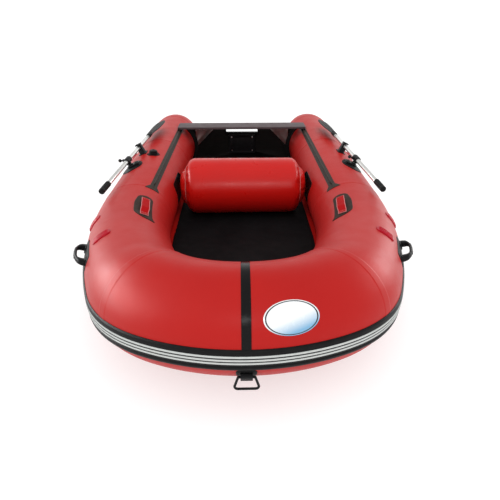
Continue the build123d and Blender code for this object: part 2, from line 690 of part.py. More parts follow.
def rowlock_patches():
    """Almond-shaped patches under the rowlocks."""
    with BuildSketch() as outline:
        with BuildLine():
            ThreePointArc((-118, 0), (0, 78), (118, 0))
            ThreePointArc((118, 0), (0, -78), (-118, 0))
        make_face()
    spans = [side_station(1, ROWLOCK_Y - 130), side_station(1, ROWLOCK_Y + 130)]
    plane = rowlock_plane(1)
    return both_sides(patch(spans, ROWLOCK_ANGLE, 22, plane, outline.sketch, 3.0))


BASE_LIFT, BASE_TOP, RING_ACROSS = 3.9, 22.0, 46.0


def rowlock_bases():
    """Moulded bases with a boss for the rowlock pin and a spare socket inboard of it."""
    plate = Pos(0, RING_ACROSS / 2, BASE_LIFT) * extrude(
        Rot(0, 0, 90) * SlotOverall(RING_ACROSS + 58, 58), amount=9
    )
    base = plate + post(19, BASE_LIFT, BASE_TOP) - post(PIN_R, 8, BASE_TOP + 1)
    base -= post(8, BASE_LIFT + 3, 40, y=RING_ACROSS)
    return both_sides(rowlock_plane(1).location * base)


def rowlock_rings():
    """Grey rings that line the spare sockets."""
    low = BASE_LIFT + 9
    ring = post(15, low, low + 6, y=RING_ACROSS) - post(8, low - 1, low + 9, y=RING_ACROSS)
    return both_sides(rowlock_plane(1).location * ring)


def rowlock_pins():
    return both_sides(rowlock_plane(1).location * post(PIN_R, 8, OAR_LIFT - OAR_R - 3))


def oar_shaft(side):
    tube = rod_x(OAR_R, -OAR_FORE + 6, OAR_AFT + 40)
    return oar_plane(side).location * (tube - rod_x(OAR_R - OAR_WALL, -OAR_FORE, OAR_AFT + 60))


def oar_grip(side):
    grip = rod_x(GRIP_R, -OAR_FORE, -OAR_FORE + GRIP_LENGTH)
    grip = fillet(grip.edges().filter_by(GeomType.CIRCLE), 6)
    for i in range(6):
        x = -OAR_FORE + 26 + 15 * i
        grip -= rod_x(GRIP_R + 5, x, x + 3) - rod_x(GRIP_R - 1.2, x - 1, x + 4)
    return oar_plane(side).location * (grip - rod_x(OAR_R, -OAR_FORE + 6, 0))


def oar_collar(side):
    """Sleeve on the shaft with a boss, bored from below for the rowlock pin."""
    half = COLLAR_LENGTH / 2
    sleeve = fillet(rod_x(COLLAR_R, -half, half).edges().filter_by(GeomType.CIRCLE), 3)
    boss_low = BASE_TOP + 2 - OAR_LIFT
    collar = sleeve + post(14, boss_low, -OAR_R) - rod_x(OAR_R, -half - 5, half + 5)
    collar -= post(PIN_R + PIN_FIT, boss_low - 1, -OAR_R - 1.5)
    return oar_plane(side).location * collar


KNOB_TILT = {1: -6.0, -1: 24.0}  # each knob is turned to a different rest


def oar_knob(side):
    """Retaining pin across the collar: a barrel, a thin neck and a ball."""
    barrel = post(10.5, COLLAR_R - 1, COLLAR_R + 12)
    knob = barrel + post(4.5, COLLAR_R + 8, COLLAR_R + 26) + Pos(0, 0, COLLAR_R + 33) * Sphere(12)
    turned = Rot(-90 + KNOB_TILT[side], 0, 0) * knob
    return oar_plane(side).location * (turned - rod_x(COLLAR_R, -60, 60))


def blade_outline(half_width, root, length):
    with BuildSketch() as sketch:
        with BuildLine():
            Spline(
                (0, root), (0.3 * length, 0.86 * half_width), (0.72 * length, half_width),
                (length, 0.62 * half_width), tangents=((1, 0.1), (0.6, -1)),
            )
            Spline(
                (0, -root), (0.3 * length, -0.86 * half_width), (0.72 * length, -half_width),
                (length, -0.62 * half_width), tangents=((1, -0.1), (0.6, 1)),
            )
            Line((0, -root), (0, root))
            Line((length, 0.62 * half_width), (length, -0.62 * half_width))
        make_face()
    return sketch.sketch


def oar_blade(side):
    """Moulded blade with a socket for the shaft and three stiffening ribs on each face."""
    plan = blade_outline(BLADE_HALF_WIDTH, 26, BLADE_LENGTH)
    blade = Pos(OAR_AFT, 0, -BLADE_THICK / 2) * extrude(plan, amount=BLADE_THICK)
    start, rib_half = OAR_AFT + 70, BLADE_THICK / 2 + 4
    for y, reach in ((0, 340), (30, 260), (-30, 260)):
        blade += block((start, start + reach), (y - 3, y + 3), (-rib_half, rib_half))
    blade += rod_x(OAR_R + 3, OAR_AFT - 20, OAR_AFT + 75)
    return oar_plane(side).location * (blade - rod_x(OAR_R, OAR_AFT - 30, OAR_AFT + 40))


CLIP_PAD_ANGLE = 71.0


def oar_clips():
    """Clips on the tubes, open on the outboard side, that hold the stowed shafts."""
    plane = oar_plane(1)
    room = OAR_R + 0.9
    body = block((CLIP_AFT - 16, CLIP_AFT + 16), (-17, 24), (-75, 24))
    slot = rod_x(room, CLIP_AFT - 30, CLIP_AFT + 30)
    slot += block((CLIP_AFT - 30, CLIP_AFT + 30), (-60, 0), (-room, room))
    place = plane.location.position + plane.x_dir * CLIP_AFT
    spans = [side_station(1, place.Y - 45), side_station(1, place.Y + 45)]
    pad_plane = skin_plane(side_station(1, place.Y), CLIP_PAD_ANGLE)
    pad = patch(spans, CLIP_PAD_ANGLE, 16, pad_plane, RectangleRounded(84, 62, 14), 3.5)
    clip = plane.location * (body - slot)
    return both_sides(clip - tube_solid_port(GLUE + 2) + pad)


def tube_solid_port(lift):
    return rod_y(HALF_SPACING, SIDE_Z, TUBE_R + lift, SHOULDER_Y - 100, CONE_START_Y)


# ---------------------------------------------------------------- deck fittings
ACCESSORY_Y, ACCESSORY_ANGLE = 226.0, 94.0
SOCKET_R, SOCKET_DEPTH = 9.0, 20.0


def accessory_plane():
    return skin_plane(side_station(-1, ACCESSORY_Y), ACCESSORY_ANGLE)


def accessory_patch():
    spans = [side_station(-1, ACCESSORY_Y - 70), side_station(-1, ACCESSORY_Y + 70)]
    outline = Rot(0, 0, 30) * RegularPolygon(52, 6)
    return patch(spans, ACCESSORY_ANGLE, 18, accessory_plane(), outline, 2.5)


def accessory_base():
    """Round socket for a rod holder or other fitting."""
    base = post(33, 3.2, 12) + post(22, 3.2, 30)
    return accessory_plane().location * (base - post(SOCKET_R, 30 - SOCKET_DEPTH, 31))


def accessory_lock_ring():
    """Grip ring that turns round the socket to lock what stands in it."""
    ring = post(29, 12.3, 26)
    for i in range(8):
        ring -= Rot(0, 0, 45 * i) * Pos(30.5, 0, 19) * Cylinder(4, 20)
    return accessory_plane().location * (ring - post(22 + PIN_FIT, 10, 28))


BOW_RING_ANGLE = -26.0
RING_HALF_WIDTH, RING_DROP, RING_R, RING_BEND_R = 50.0, 62.0, 5.0, 13.0


def bow_ring_plane():
    return skin_plane(bow_station(0), BOW_RING_ANGLE)


def bow_ring_patch():
    spans = [bow_station(t) for t in (-6, 0, 6)]
    outline = RectangleRounded(80, 60, 18)
    return patch(spans, BOW_RING_ANGLE, 14, bow_ring_plane(), outline, 3.0)


def bow_ring_bracket():
    """Moulded saddle with a cross bore that the towing ring turns in."""
    saddle = Pos(0, 0, 3.9 + 10) * Box(46, 40, 20)
    saddle = fillet(saddle.edges().filter_by(Axis.X), 7)
    return bow_ring_plane().location * (saddle - RING_AXLE_ROOM)


RING_AXLE_LIFT = 13.9
RING_AXLE_ROOM = Pos(0, 0, RING_AXLE_LIFT) * rod_x(RING_R + PIN_FIT, -40, 40)


def bow_towing_ring():
    """Rod bent into a trapezoid: an axle through the bracket, two arms and a rounded grip."""
    axle_half = 32.0
    corners = [(RING_HALF_WIDTH, 0, -RING_DROP), (axle_half, 0, 0)]
    points = [(-x, 0, z) for x, _, z in reversed(corners)] + corners
    with BuildPart() as rod:
        with BuildLine():
            path = FilletPolyline(*points, radius=RING_BEND_R)
        with BuildSketch(Plane(origin=path @ 0, z_dir=path % 0)):
            Circle(RING_R)
        sweep()
    ring = rod.part + rod_x(RING_R, -axle_half, axle_half)
    for s in (-1, 1):
        ring += Pos(s * axle_half, 0, 0) * Sphere(RING_R)
    hinge_point = bow_ring_plane().from_local_coords(Vector(0, 0, RING_AXLE_LIFT))
    return Pos(*hinge_point) * ring


HANDLE_TURN, HANDLE_ANGLE = 72.5, 25.0
HANDLE_HALF, HANDLE_HEIGHT, HANDLE_WIDTH = 98.0, 56.0, 30.0


def handle_plane(lift=0.0):
    return skin_plane(bow_station(HANDLE_TURN), HANDLE_ANGLE, lift)


def side_handle_patches():
    spans = [bow_station(HANDLE_TURN + d) for d in (-4, -1.3, 1.3, 4)]
    outline = RectangleRounded(236, 88, 28)
    return both_sides(patch(spans, HANDLE_ANGLE, 17, handle_plane(), outline, 3.0))


def side_handles():
    """Moulded arches with thick feet and a thinner grip."""
    with BuildSketch(Plane.XZ) as profile:
        with BuildLine():
            Polyline(
                (-HANDLE_HALF, 0), (-HANDLE_HALF + 12, 32), (-HANDLE_HALF + 38, HANDLE_HEIGHT),
                (HANDLE_HALF - 38, HANDLE_HEIGHT), (HANDLE_HALF - 12, 32), (HANDLE_HALF, 0),
                (HANDLE_HALF - 50, 0), (HANDLE_HALF - 54, HANDLE_HEIGHT - 15),
                (-HANDLE_HALF + 54, HANDLE_HEIGHT - 15), (-HANDLE_HALF + 50, 0), close=True,
            )
        make_face()
        fillet(profile.vertices().filter_by(lambda v: v.Z > 1), 8)
    arch = extrude(profile.sketch, amount=HANDLE_WIDTH / 2, both=True)
    return both_sides(handle_plane(3.6).location * arch)


CARRY_TURN, CARRY_ANGLE = 80.5, 116.0


def carry_plane(lift=0.0):
    return skin_plane(bow_station(CARRY_TURN), CARRY_ANGLE, lift)


def carry_handle_patches():
    """D-shaped patches: straight along the inboard edge, flared at the forward corner."""
    with BuildSketch() as outline:
        with BuildLine():
            Polyline(
                (-192, 64), (-146, 48), (152, 48), (178, 8), (160, -44), (60, -58),
                (-96, -56), (-160, -14), close=True,
            )
        make_face()
        fillet(outline.vertices(), 10)
    spans = [bow_station(CARRY_TURN + d) for d in (-6, -3, 0, 3, 6)]
    return both_sides(patch(spans, CARRY_ANGLE, 17, carry_plane(), outline.sketch, 2.5))


def carry_handle_straps():
    """Webbing loops with flat ends, which follow the tube's bend, and a raised middle."""
    half, flat, rise, thick = 128.0, 34.0, 20.0, 3.0
    low = [(-half, 5.2), (-half + flat, 3.0), (-half + flat + 30, rise)]
    low += [(-x, z) for x, z in reversed(low)]
    high = [(x, z + thick) for x, z in reversed(low)]
    with BuildSketch(Plane.XZ) as profile:
        with BuildLine():
            Polyline(*low, *high, close=True)
        make_face()
    strap = extrude(profile.sketch, amount=23, both=True)
    return both_sides(carry_plane(3.6).location * strap)


LIFELINE_PLACES = ((72.0, 58.5), (80.0, 38.0))  # turn round the bow, angle on the tube
LIFELINE_SIDE_YS, LIFELINE_SIDE_ANGLE = (450.0, 1180.0), 30.0


def lifeline_fitting(before, middle, after, angle):
    """Moulded tab with three ridges, running round the tube."""
    tab = band([before, middle, after], angle - 14, angle + 14, GLUE, GLUE + 6)
    for shift in (-9, 0, 9):
        tab += band([before, middle, after], angle + shift - 1.6, angle + shift + 1.6, GLUE + 5, GLUE + 9)
    return tab


def lifeline_fittings():
    tabs = []
    for turn, angle in LIFELINE_PLACES:
        half_turn = degrees(29 / (SIDE_CURVE_R + TUBE_R))
        three = [bow_station(turn + d * half_turn) for d in (-1, 0, 1)]
        tabs += both_sides(lifeline_fitting(*three, angle)).solids()
    for y in LIFELINE_SIDE_YS:
        three = [side_station(1, y + d) for d in (-29, 0, 29)]
        tabs += both_sides(lifeline_fitting(*three, LIFELINE_SIDE_ANGLE)).solids()
    return Compound(tabs)


BADGE_TURN, BADGE_ANGLE = 11.5, 37.0


def badge():
    """Plain oval plate on the port bow."""
    plane = skin_plane(bow_station(BADGE_TURN), BADGE_ANGLE)
    spans = [bow_station(BADGE_TURN + d) for d in (-9, -4.5, 0, 4.5, 9)]
    return patch(spans, BADGE_ANGLE, 19, plane, Ellipse(104, 64), 1.2)


# ---------------------------------------------------------------- the assembly
def write(name, shape):
    solids = shape.solids()
    body = solids[0] if len(solids) == 1 else Compound(list(solids))
    export_step(body, os.path.join(OUT, name + ".step"))


def main():
    os.makedirs("parts", exist_ok=True)
    for builder in (
        bow_chamber, stern_end_caps, rub_strake, strake_stripes, bow_seam_tape, chafe_strips,
        air_floor, floor_mat, bottom_skin, keel_tube, transom_board, transom_trim,
        transom_bolts, motor_pads, transom_knees, transom_holders, drain_socket, drain_plug,
        stern_tow_eyes, seat_rails,
        seat_board, seat_slides, thwart_bolster, thwart_mount_patches, rowlock_patches,
        rowlock_bases, rowlock_rings, rowlock_pins, oar_clips, accessory_patch, accessory_base,
        accessory_lock_ring, bow_ring_patch, bow_ring_bracket, bow_towing_ring,
        side_handle_patches, side_handles, carry_handle_patches, carry_handle_straps,
        lifeline_fittings, badge,
    ):
        write(builder.__name__, builder())
    write("valve_bodies", Compound([valve_body(p).solid() for p in VALVE_PLANES.values()]))
    write("thwart_valve_body", valve_body(THWART_VALVE_PLANE))
    for name, plane in VALVE_PLANES.items():
        write(name + "_valve_cap", valve_cap(plane))
    write("thwart_valve_cap", valve_cap(THWART_VALVE_PLANE))
    for name, side in (("port", 1), ("starboard", -1)):
        write(name + "_side_chamber", side_chamber(side))
        for piece in (oar_shaft, oar_grip, oar_collar, oar_knob, oar_blade):
            write(f"{name}_{piece.__name__}", piece(side))


main()
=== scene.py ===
"""Looks of the inflatable dinghy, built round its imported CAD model. Metres; bow towards -Y,
port is +X, +Z up. On a tube section angle 0 is the outer side, 90 the top, 180 the inner side.
"""

from math import atan2, cos, degrees, exp, hypot, pi, radians, sin, sqrt

import bmesh
import bpy
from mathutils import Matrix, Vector, noise
from mathutils.geometry import delaunay_2d_cdt


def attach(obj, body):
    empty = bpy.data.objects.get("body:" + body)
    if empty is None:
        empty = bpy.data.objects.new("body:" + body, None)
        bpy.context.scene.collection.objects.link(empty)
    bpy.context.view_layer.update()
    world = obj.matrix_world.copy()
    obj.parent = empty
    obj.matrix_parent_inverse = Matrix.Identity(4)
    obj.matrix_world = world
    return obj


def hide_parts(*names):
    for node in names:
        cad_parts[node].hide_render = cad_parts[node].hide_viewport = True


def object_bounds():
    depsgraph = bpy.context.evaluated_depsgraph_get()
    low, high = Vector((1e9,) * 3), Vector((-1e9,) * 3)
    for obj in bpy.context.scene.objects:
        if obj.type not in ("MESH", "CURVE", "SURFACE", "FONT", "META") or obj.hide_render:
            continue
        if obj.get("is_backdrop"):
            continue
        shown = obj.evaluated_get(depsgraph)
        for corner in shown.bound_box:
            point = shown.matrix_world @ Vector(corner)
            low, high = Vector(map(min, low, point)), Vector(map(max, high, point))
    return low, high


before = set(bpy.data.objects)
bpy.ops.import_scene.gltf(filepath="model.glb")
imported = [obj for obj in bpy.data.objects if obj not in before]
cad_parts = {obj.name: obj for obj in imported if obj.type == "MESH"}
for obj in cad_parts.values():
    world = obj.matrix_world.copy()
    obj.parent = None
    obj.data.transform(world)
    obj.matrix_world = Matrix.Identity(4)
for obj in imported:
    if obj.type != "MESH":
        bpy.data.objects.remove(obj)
CAD_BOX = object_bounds()
UP = Vector((0, 0, 1))

# ---- hull form, the same as the CAD model's ----
TUBE_R = 0.225
HALF_SPACING = 0.687
SIDE_Z = 0.232
SHOULDER_Y = -0.359
FRONT_R, FRONT_TURN = 0.634, radians(26.3)
CORNER_R, CORNER_TURN = 0.449, radians(65.6)
BOW_RISE = 0.109
CORNER_SWELL, SWELL_SPREAD = 0.012, radians(21.8)
CONE_START_Y, CONE_END_Y, CONE_END_R = 1.460, 1.785, 0.140
FRONT_REACH = FRONT_R * sin(FRONT_TURN) + CORNER_R * (sin(CORNER_TURN) - sin(FRONT_TURN))
SIDE_CURVE_R = (HALF_SPACING - FRONT_REACH) / (1 - sin(CORNER_TURN))
BOW_ARCS = ((FRONT_TURN, FRONT_R), (CORNER_TURN, CORNER_R), (pi / 2, SIDE_CURVE_R))
CONE_CURVE_R = ((TUBE_R - CONE_END_R) ** 2 + (CONE_END_Y - CONE_START_Y) ** 2) / (
    2 * (TUBE_R - CONE_END_R)
)

# ---- fittings, at the places that the CAD model gives them ----
STRAKE_LOW, STRAKE_HIGH, STRAKE_THICK = -16.0, 10.0, 0.0073
STRAKE_END_Y = 1.420
STRIPE_ANGLES, STRIPE_HALF_ANGLE = (2.6, -1.3, -5.2), 1.1
TAPE_HALF_WIDTH, TAPE_THICK = 0.018, 0.0015
RAIL_ANGLE, RAIL_HALF_WIDTH, RAIL_THICK = 121.0, 0.0228, 0.005
RAIL_FRONT_Y, RAIL_BACK_Y, RAIL_FLARE = -0.345, 1.145, 0.058
BEAD_R, BEAD_LIFT = 0.006, 0.014
FLOOR_INSET, FLOOR_BACK_Y, FLOOR_Z, FLOOR_TOP_Z = 0.168, 1.190, 0.030, 0.076
MAT_MARGIN, MAT_THICK = 0.048, 0.004
SKIN_THICK = 0.003
TRANSOM_BACK = 1.227
THWART_Y, THWART_R, THWART_HALF_LENGTH = 0.030, 0.199, 0.4565
THWART_Z = FLOOR_TOP_Z + MAT_THICK + 0.0003 + THWART_R
ROWLOCK_Y, ROWLOCK_ANGLE = 0.0, 64.0
OAR_LIFT, OAR_TILT, OAR_AFT = 0.052, radians(5), 0.560
BLADE_LENGTH, BLADE_HALF_WIDTH, BLADE_THICK = 0.400, 0.068, 0.007
HANDLE_TURN, HANDLE_ANGLE = radians(72.5), 25.0
HANDLE_HALF, HANDLE_HEIGHT, HANDLE_WIDTH = 0.098, 0.056, 0.030
CARRY_TURN, CARRY_ANGLE = radians(80.5), 116.0
LIFELINE_PLACES = ((radians(72.0), 58.5), (radians(80.0), 38.0))
LIFELINE_SIDE_YS, LIFELINE_SIDE_ANGLE = (0.450, 1.180), 30.0
ACCESSORY_Y, ACCESSORY_ANGLE = 0.226, 94.0
BOW_RING_ANGLE = -26.0
WEAR_PATCH_ANGLE = 172.0
BADGE_TURN, BADGE_ANGLE, BADGE_HALF = radians(11.5), 37.0, (0.104, 0.064)


# ---- tube geometry ----
def arc_lengths():
    """Length of each of the bow's arcs, from the tip to a shoulder."""
    starts = (0, FRONT_TURN, CORNER_TURN)
    return [radius * (end - start) for (end, radius), start in zip(BOW_ARCS, starts)]


HALF_BOW = sum(arc_lengths())
SIDE_LENGTH = CONE_END_Y - SHOULDER_Y


def bow_offset(turn):
    """Distances across and aft from the bow's tip to where the axis has turned so far."""
    across = aft = start = 0.0
    for end, radius in BOW_ARCS:
        stop = min(abs(turn), end)
        across += radius * (sin(stop) - sin(start))
        aft += radius * (cos(start) - cos(stop))
        start = stop
    return across, aft


BOW_LENGTH = bow_offset(pi / 2)[1]
BOW_TIP_Y = SHOULDER_Y - BOW_LENGTH


def turn_at(distance):
    """Turn of the bow's plan, and its radius, this far along the axis from the tip."""
    start, left = 0.0, abs(distance)
    for end, radius in BOW_ARCS:
        length = radius * (end - start)
        if left <= length:
            break
        start, left = end, left - length
    turn = min(pi / 2, start + left / radius)
    return (turn if distance >= 0 else -turn), radius


def distance_at(turn):
    """Distance along the axis from the tip to a turn of the bow's plan."""
    total = start = 0.0
    for end, radius in BOW_ARCS:
        total += radius * (min(turn, end) - start)
        start = min(turn, end)
    return total


def side_distance(y):
    return HALF_BOW + y - SHOULDER_Y


def station(distance):
    """Axis point, outward direction, tube radius and run of the axis, at a distance from the
    bow's tip along the axis; it is positive to port and carries on along the side tubes."""
    side = -1 if distance < 0 else 1
    if abs(distance) > HALF_BOW:
        y = SHOULDER_Y + abs(distance) - HALF_BOW
        radius = TUBE_R
        if y > CONE_START_Y:
            radius -= CONE_CURVE_R - sqrt(CONE_CURVE_R**2 - (y - CONE_START_Y) ** 2)
        return Vector((side * HALF_SPACING, y, SIDE_Z)), Vector((side, 0, 0)), radius
    turn = turn_at(distance)[0]
    across, aft = bow_offset(turn)
    ahead = (BOW_LENGTH - aft) / BOW_LENGTH
    swell = ((abs(turn) - (FRONT_TURN + CORNER_TURN) / 2) / SWELL_SPREAD) ** 2
    centre = Vector((side * across, BOW_TIP_Y + aft, SIDE_Z + BOW_RISE * ahead**2))
    outward = Vector((side * sin(abs(turn)), -cos(turn), 0))
    return centre, outward, TUBE_R + CORNER_SWELL * exp(-swell)


def skin_point(distance, angle, lift=0.0):
    centre, outward, radius = station(distance)
    reach = radius + lift
    turned = radians(angle)
    return centre + outward * (reach * cos(turned)) + UP * (reach * sin(turned))


def skin_place(distance, angle):
    """Where points of a piece glued on the tube go: x runs aft along the tube from the middle
    at this distance, y runs round it towards the top, and lift stands off the fabric."""
    stretch = 1.0
    if abs(distance) < HALF_BOW:
        stretch += TUBE_R * cos(radians(angle)) / turn_at(distance)[1]

    def place(x, y, lift):
        return skin_point(distance + x / stretch, angle + degrees(y / TUBE_R), lift)

    return place


HANDLE_PLACE = skin_place(distance_at(HANDLE_TURN), HANDLE_ANGLE)
CARRY_PLACE = skin_place(distance_at(CARRY_TURN), CARRY_ANGLE)


def flat_place(z):
    def place(x, y, lift):
        return Vector((x, y, z + lift))

    return place


def smooth_step(value):
    value = min(1.0, max(0.0, value))
    return value * value * (3 - 2 * value)


# ---- mesh building ----
def placed(name, data):
    """A new object with this data, in the scene."""
    made = bpy.data.objects.new(name, data)
    bpy.context.scene.collection.objects.link(made)
    return made


class Shape:
    """Points, faces and the flat coordinates of the faces' corners, gathered for one mesh."""

    def __init__(self):
        self.points, self.faces, self.flats, self.slots = [], [], [], []

    def face(self, indices, flats, slot=0):
        self.faces.append(tuple(indices))
        self.flats.append(tuple(flats))
        self.slots.append(slot)

    def grid(self, rows, slot=0):
        """Quads over rows of (point, flat coordinates)."""
        first, width = len(self.points), len(rows[0])
        self.points += [point for row in rows for point, _ in row]
        for i in range(len(rows) - 1):
            for j in range(width - 1):
                corners = ((i, j), (i, j + 1), (i + 1, j + 1), (i + 1, j))
                indices = [first + a * width + b for a, b in corners]
                self.face(indices, [rows[a][b][1] for a, b in corners], slot)
        return self

    def fan(self, ring, flat=(0, 0), slot=0):
        """Closes a ring of points with a fan about its middle."""
        first = len(self.points)
        self.points += list(ring) + [sum(ring, Vector()) / len(ring)]
        for i in range(len(ring)):
            corners = [first + i, first + (i + 1) % len(ring), first + len(ring)]
            self.face(corners, [flat] * 3, slot)
        return self

    def strip(self, rows, slot=0):
        """A grid whose rows are closed rings, shut at both ends."""
        self.grid(rows, slot)
        for row in (rows[0], rows[-1]):
            self.fan([p for p, _ in row[:-1]], slot=slot)
        return self

    def mirrored(self):
        """Adds the same shape on the boat's other side."""
        count = len(self.points)
        self.points += [Vector((-p[0], p[1], p[2])) for p in self.points]
        for face, flat, slot in list(zip(self.faces, self.flats, self.slots)):
            self.face([count + i for i in reversed(face)], list(reversed(flat)), slot)
        return self

    def piece(self, name, surfaces, slot, *nodes, body="hull", crease=40):
        """Makes the object, which rides on a body and stands for these CAD nodes."""
        mesh = bpy.data.meshes.new(name)
        mesh.from_pydata([tuple(p) for p in self.points], [], self.faces)
        layer = mesh.uv_layers.new(name="flat")
        corners = [corner for flat in self.flats for corner in flat]
        layer.data.foreach_set("uv", [value for corner in corners for value in corner])
        mesh.polygons.foreach_set("material_index", self.slots)
        tidy = bmesh.new()
        tidy.from_mesh(mesh)
        bmesh.ops.remove_doubles(tidy, verts=tidy.verts, dist=2e-6)
        bmesh.ops.dissolve_degenerate(tidy, edges=tidy.edges, dist=1e-7)
        bmesh.ops.recalc_face_normals(tidy, faces=tidy.faces)
        tidy.to_mesh(mesh)
        tidy.free()
        for surface in surfaces if isinstance(surfaces, tuple) else (surfaces,):
            mesh.materials.append(surface)
        mesh.polygons.foreach_set("use_smooth", [True] * len(mesh.polygons))
        mesh.set_sharp_from_angle(angle=radians(crease))
        made = placed(name, mesh)
        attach(made, body)
        if nodes:
            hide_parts(*nodes)
        return made


def rounded(corners, radius, steps=6):
    """Outline through the corners, each rounded with a curve of about this radius."""
    outline = []
    for i, corner in enumerate(corners):
        here = Vector(corner)
        ends = []
        for other in (corners[i - 1], corners[(i + 1) % len(corners)]):
            run = Vector(other) - here
            ends.append(here + run.normalized() * min(radius, 0.45 * run.length))
        for k in range(steps + 1):
            t = k / steps
            outline.append(ends[0] * (1 - t) ** 2 + here * 2 * t * (1 - t) + ends[1] * t * t)
    return outline


def box_outline(length, width, radius):
    x, y = length / 2, width / 2
    return rounded([(-x, -y), (x, -y), (x, y), (-x, y)], radius)


def spaced(outline, spacing):
    """The outline with points added, so that none are further apart than the spacing."""
    points = []
    for a, b in zip(outline, outline[1:] + outline[:1]):
        parts = max(1, int((b - a).length / spacing + 0.5))
        points += [a.lerp(b, k / parts) for k in range(parts) if (b - a).length > 1e-6]
    return points


def inside(point, outline):
    hit = False
    for a, b in zip(outline, outline[1:] + outline[:1]):
        if (a.y > point.y) != (b.y > point.y):
            if point.x < a.x + (b.x - a.x) * (point.y - a.y) / (b.y - a.y):
                hit = not hit
    return hit


def edge_distance(point, outline):
    nearest = 1e9
    for a, b in zip(outline, outline[1:] + outline[:1]):
        run = b - a
        t = max(0.0, min(1.0, (point - a).dot(run) / max(run.length_squared, 1e-12)))
        nearest = min(nearest, (point - a - run * t).length_squared)
    return sqrt(nearest)


def sheet(shape, outline, place, thick, edge, spacing=0.012, relief=None, sunk=0.0006):
    """A closed pad cut to an outline, laid on a surface, with its upper edge rounded over."""
    rim = spaced(outline, spacing)
    count = len(rim)
    points = list(rim)
    for share in (0.12, 0.4, 0.75, 1.1):
        for i in range(count):
            run = (rim[(i + 1) % count] - rim[i - 1]).normalized()
            point = rim[i] + Vector((-run.y, run.x)) * share * edge
            if not inside(point, rim):
                point = rim[i] - Vector((-run.y, run.x)) * share * edge
            if inside(point, rim) and edge_distance(point, rim) > 0.8 * share * edge:
                points.append(point)
    low = [min(p[k] for p in rim) for k in (0, 1)]
    high = [max(p[k] for p in rim) for k in (0, 1)]
    across, along = (int((high[k] - low[k]) / spacing) for k in (0, 1))
    for i in range(1, across + 1):
        for j in range(1, along + 1):
            shift = 0.5 * (j % 2)
            point = Vector((low[0] + (i - 0.5 + shift) * spacing, low[1] + j * spacing))
            if inside(point, rim) and edge_distance(point, rim) > 1.2 * edge + 0.3 * spacing:
                points.append(point)
    loops = [list(range(count))]
    made, _, faces, *_ = delaunay_2d_cdt(points, [], loops, 1, 1e-7)
    first = len(shape.points)
    for p in made:
        rise = sqrt(max(0.0, 1 - (1 - min(edge_distance(p, rim) / edge, 1)) ** 2))
        lift = thick * rise + (relief(p.x, p.y) * rise if relief else 0)
        shape.points.append(place(p.x, p.y, lift if rise > 0.05 else -sunk))
    base = len(shape.points)
    shape.points += [place(p.x, p.y, -sunk) for p in made]
    for face in faces:
        flats = [(made[i].x, made[i].y) for i in face]
        shape.face([first + i for i in face], flats)
        shape.face([base + i for i in reversed(face)], list(reversed(flats)))
    return shape


def ring_about(centre, across, up, half_width, half_height, steps=16, power=2.0):
    """Closed ring, round or with rounded corners, whose last point repeats the first."""
    ring = []
    for k in range(steps + 1):
        turn = 2 * pi * k / steps
        c, s = cos(turn), sin(turn)
        x = half_width * abs(c) ** (2 / power) * (1 if c >= 0 else -1)
        y = half_height * abs(s) ** (2 / power) * (1 if s >= 0 else -1)
        ring.append((centre + across * x + up * y, (x + y, 0)))
    return ring


def tube_along(shape, points, across, sizes, steps=16, power=2.0):
    """Closed tube along points; across is its fixed side direction, sizes its half sizes."""
    rows, travelled = [], 0.0
    for i, point in enumerate(points):
        run = (points[min(i + 1, len(points) - 1)] - points[max(i - 1, 0)]).normalized()
        up = run.cross(across).normalized()
        travelled += (point - points[max(i - 1, 0)]).length
        ring = ring_about(point, across, up, *sizes[i], steps, power)
        rows.append([(p, (travelled, flat[0])) for p, flat in ring])
    return shape.strip(rows)


def swept_profile(shape, distances, profile, scale):
    """Strip on the tube: a closed profile of (angle, lift) carried along the distances."""
    rows = []
    for d in distances:
        size = scale(d)
        row = []
        for angle, lift in [*profile, profile[0]]:
            point = skin_point(d, angle, lift * size if lift > 0 else lift)
            row.append((point, (d, radians(angle) * TUBE_R + lift)))
        rows.append(row)
    return shape.strip(rows)


def spread(start, end, spacing):
    count = max(2, int(abs(end - start) / spacing + 0.5))
    return [start + (end - start) * i / count for i in range(count + 1)]


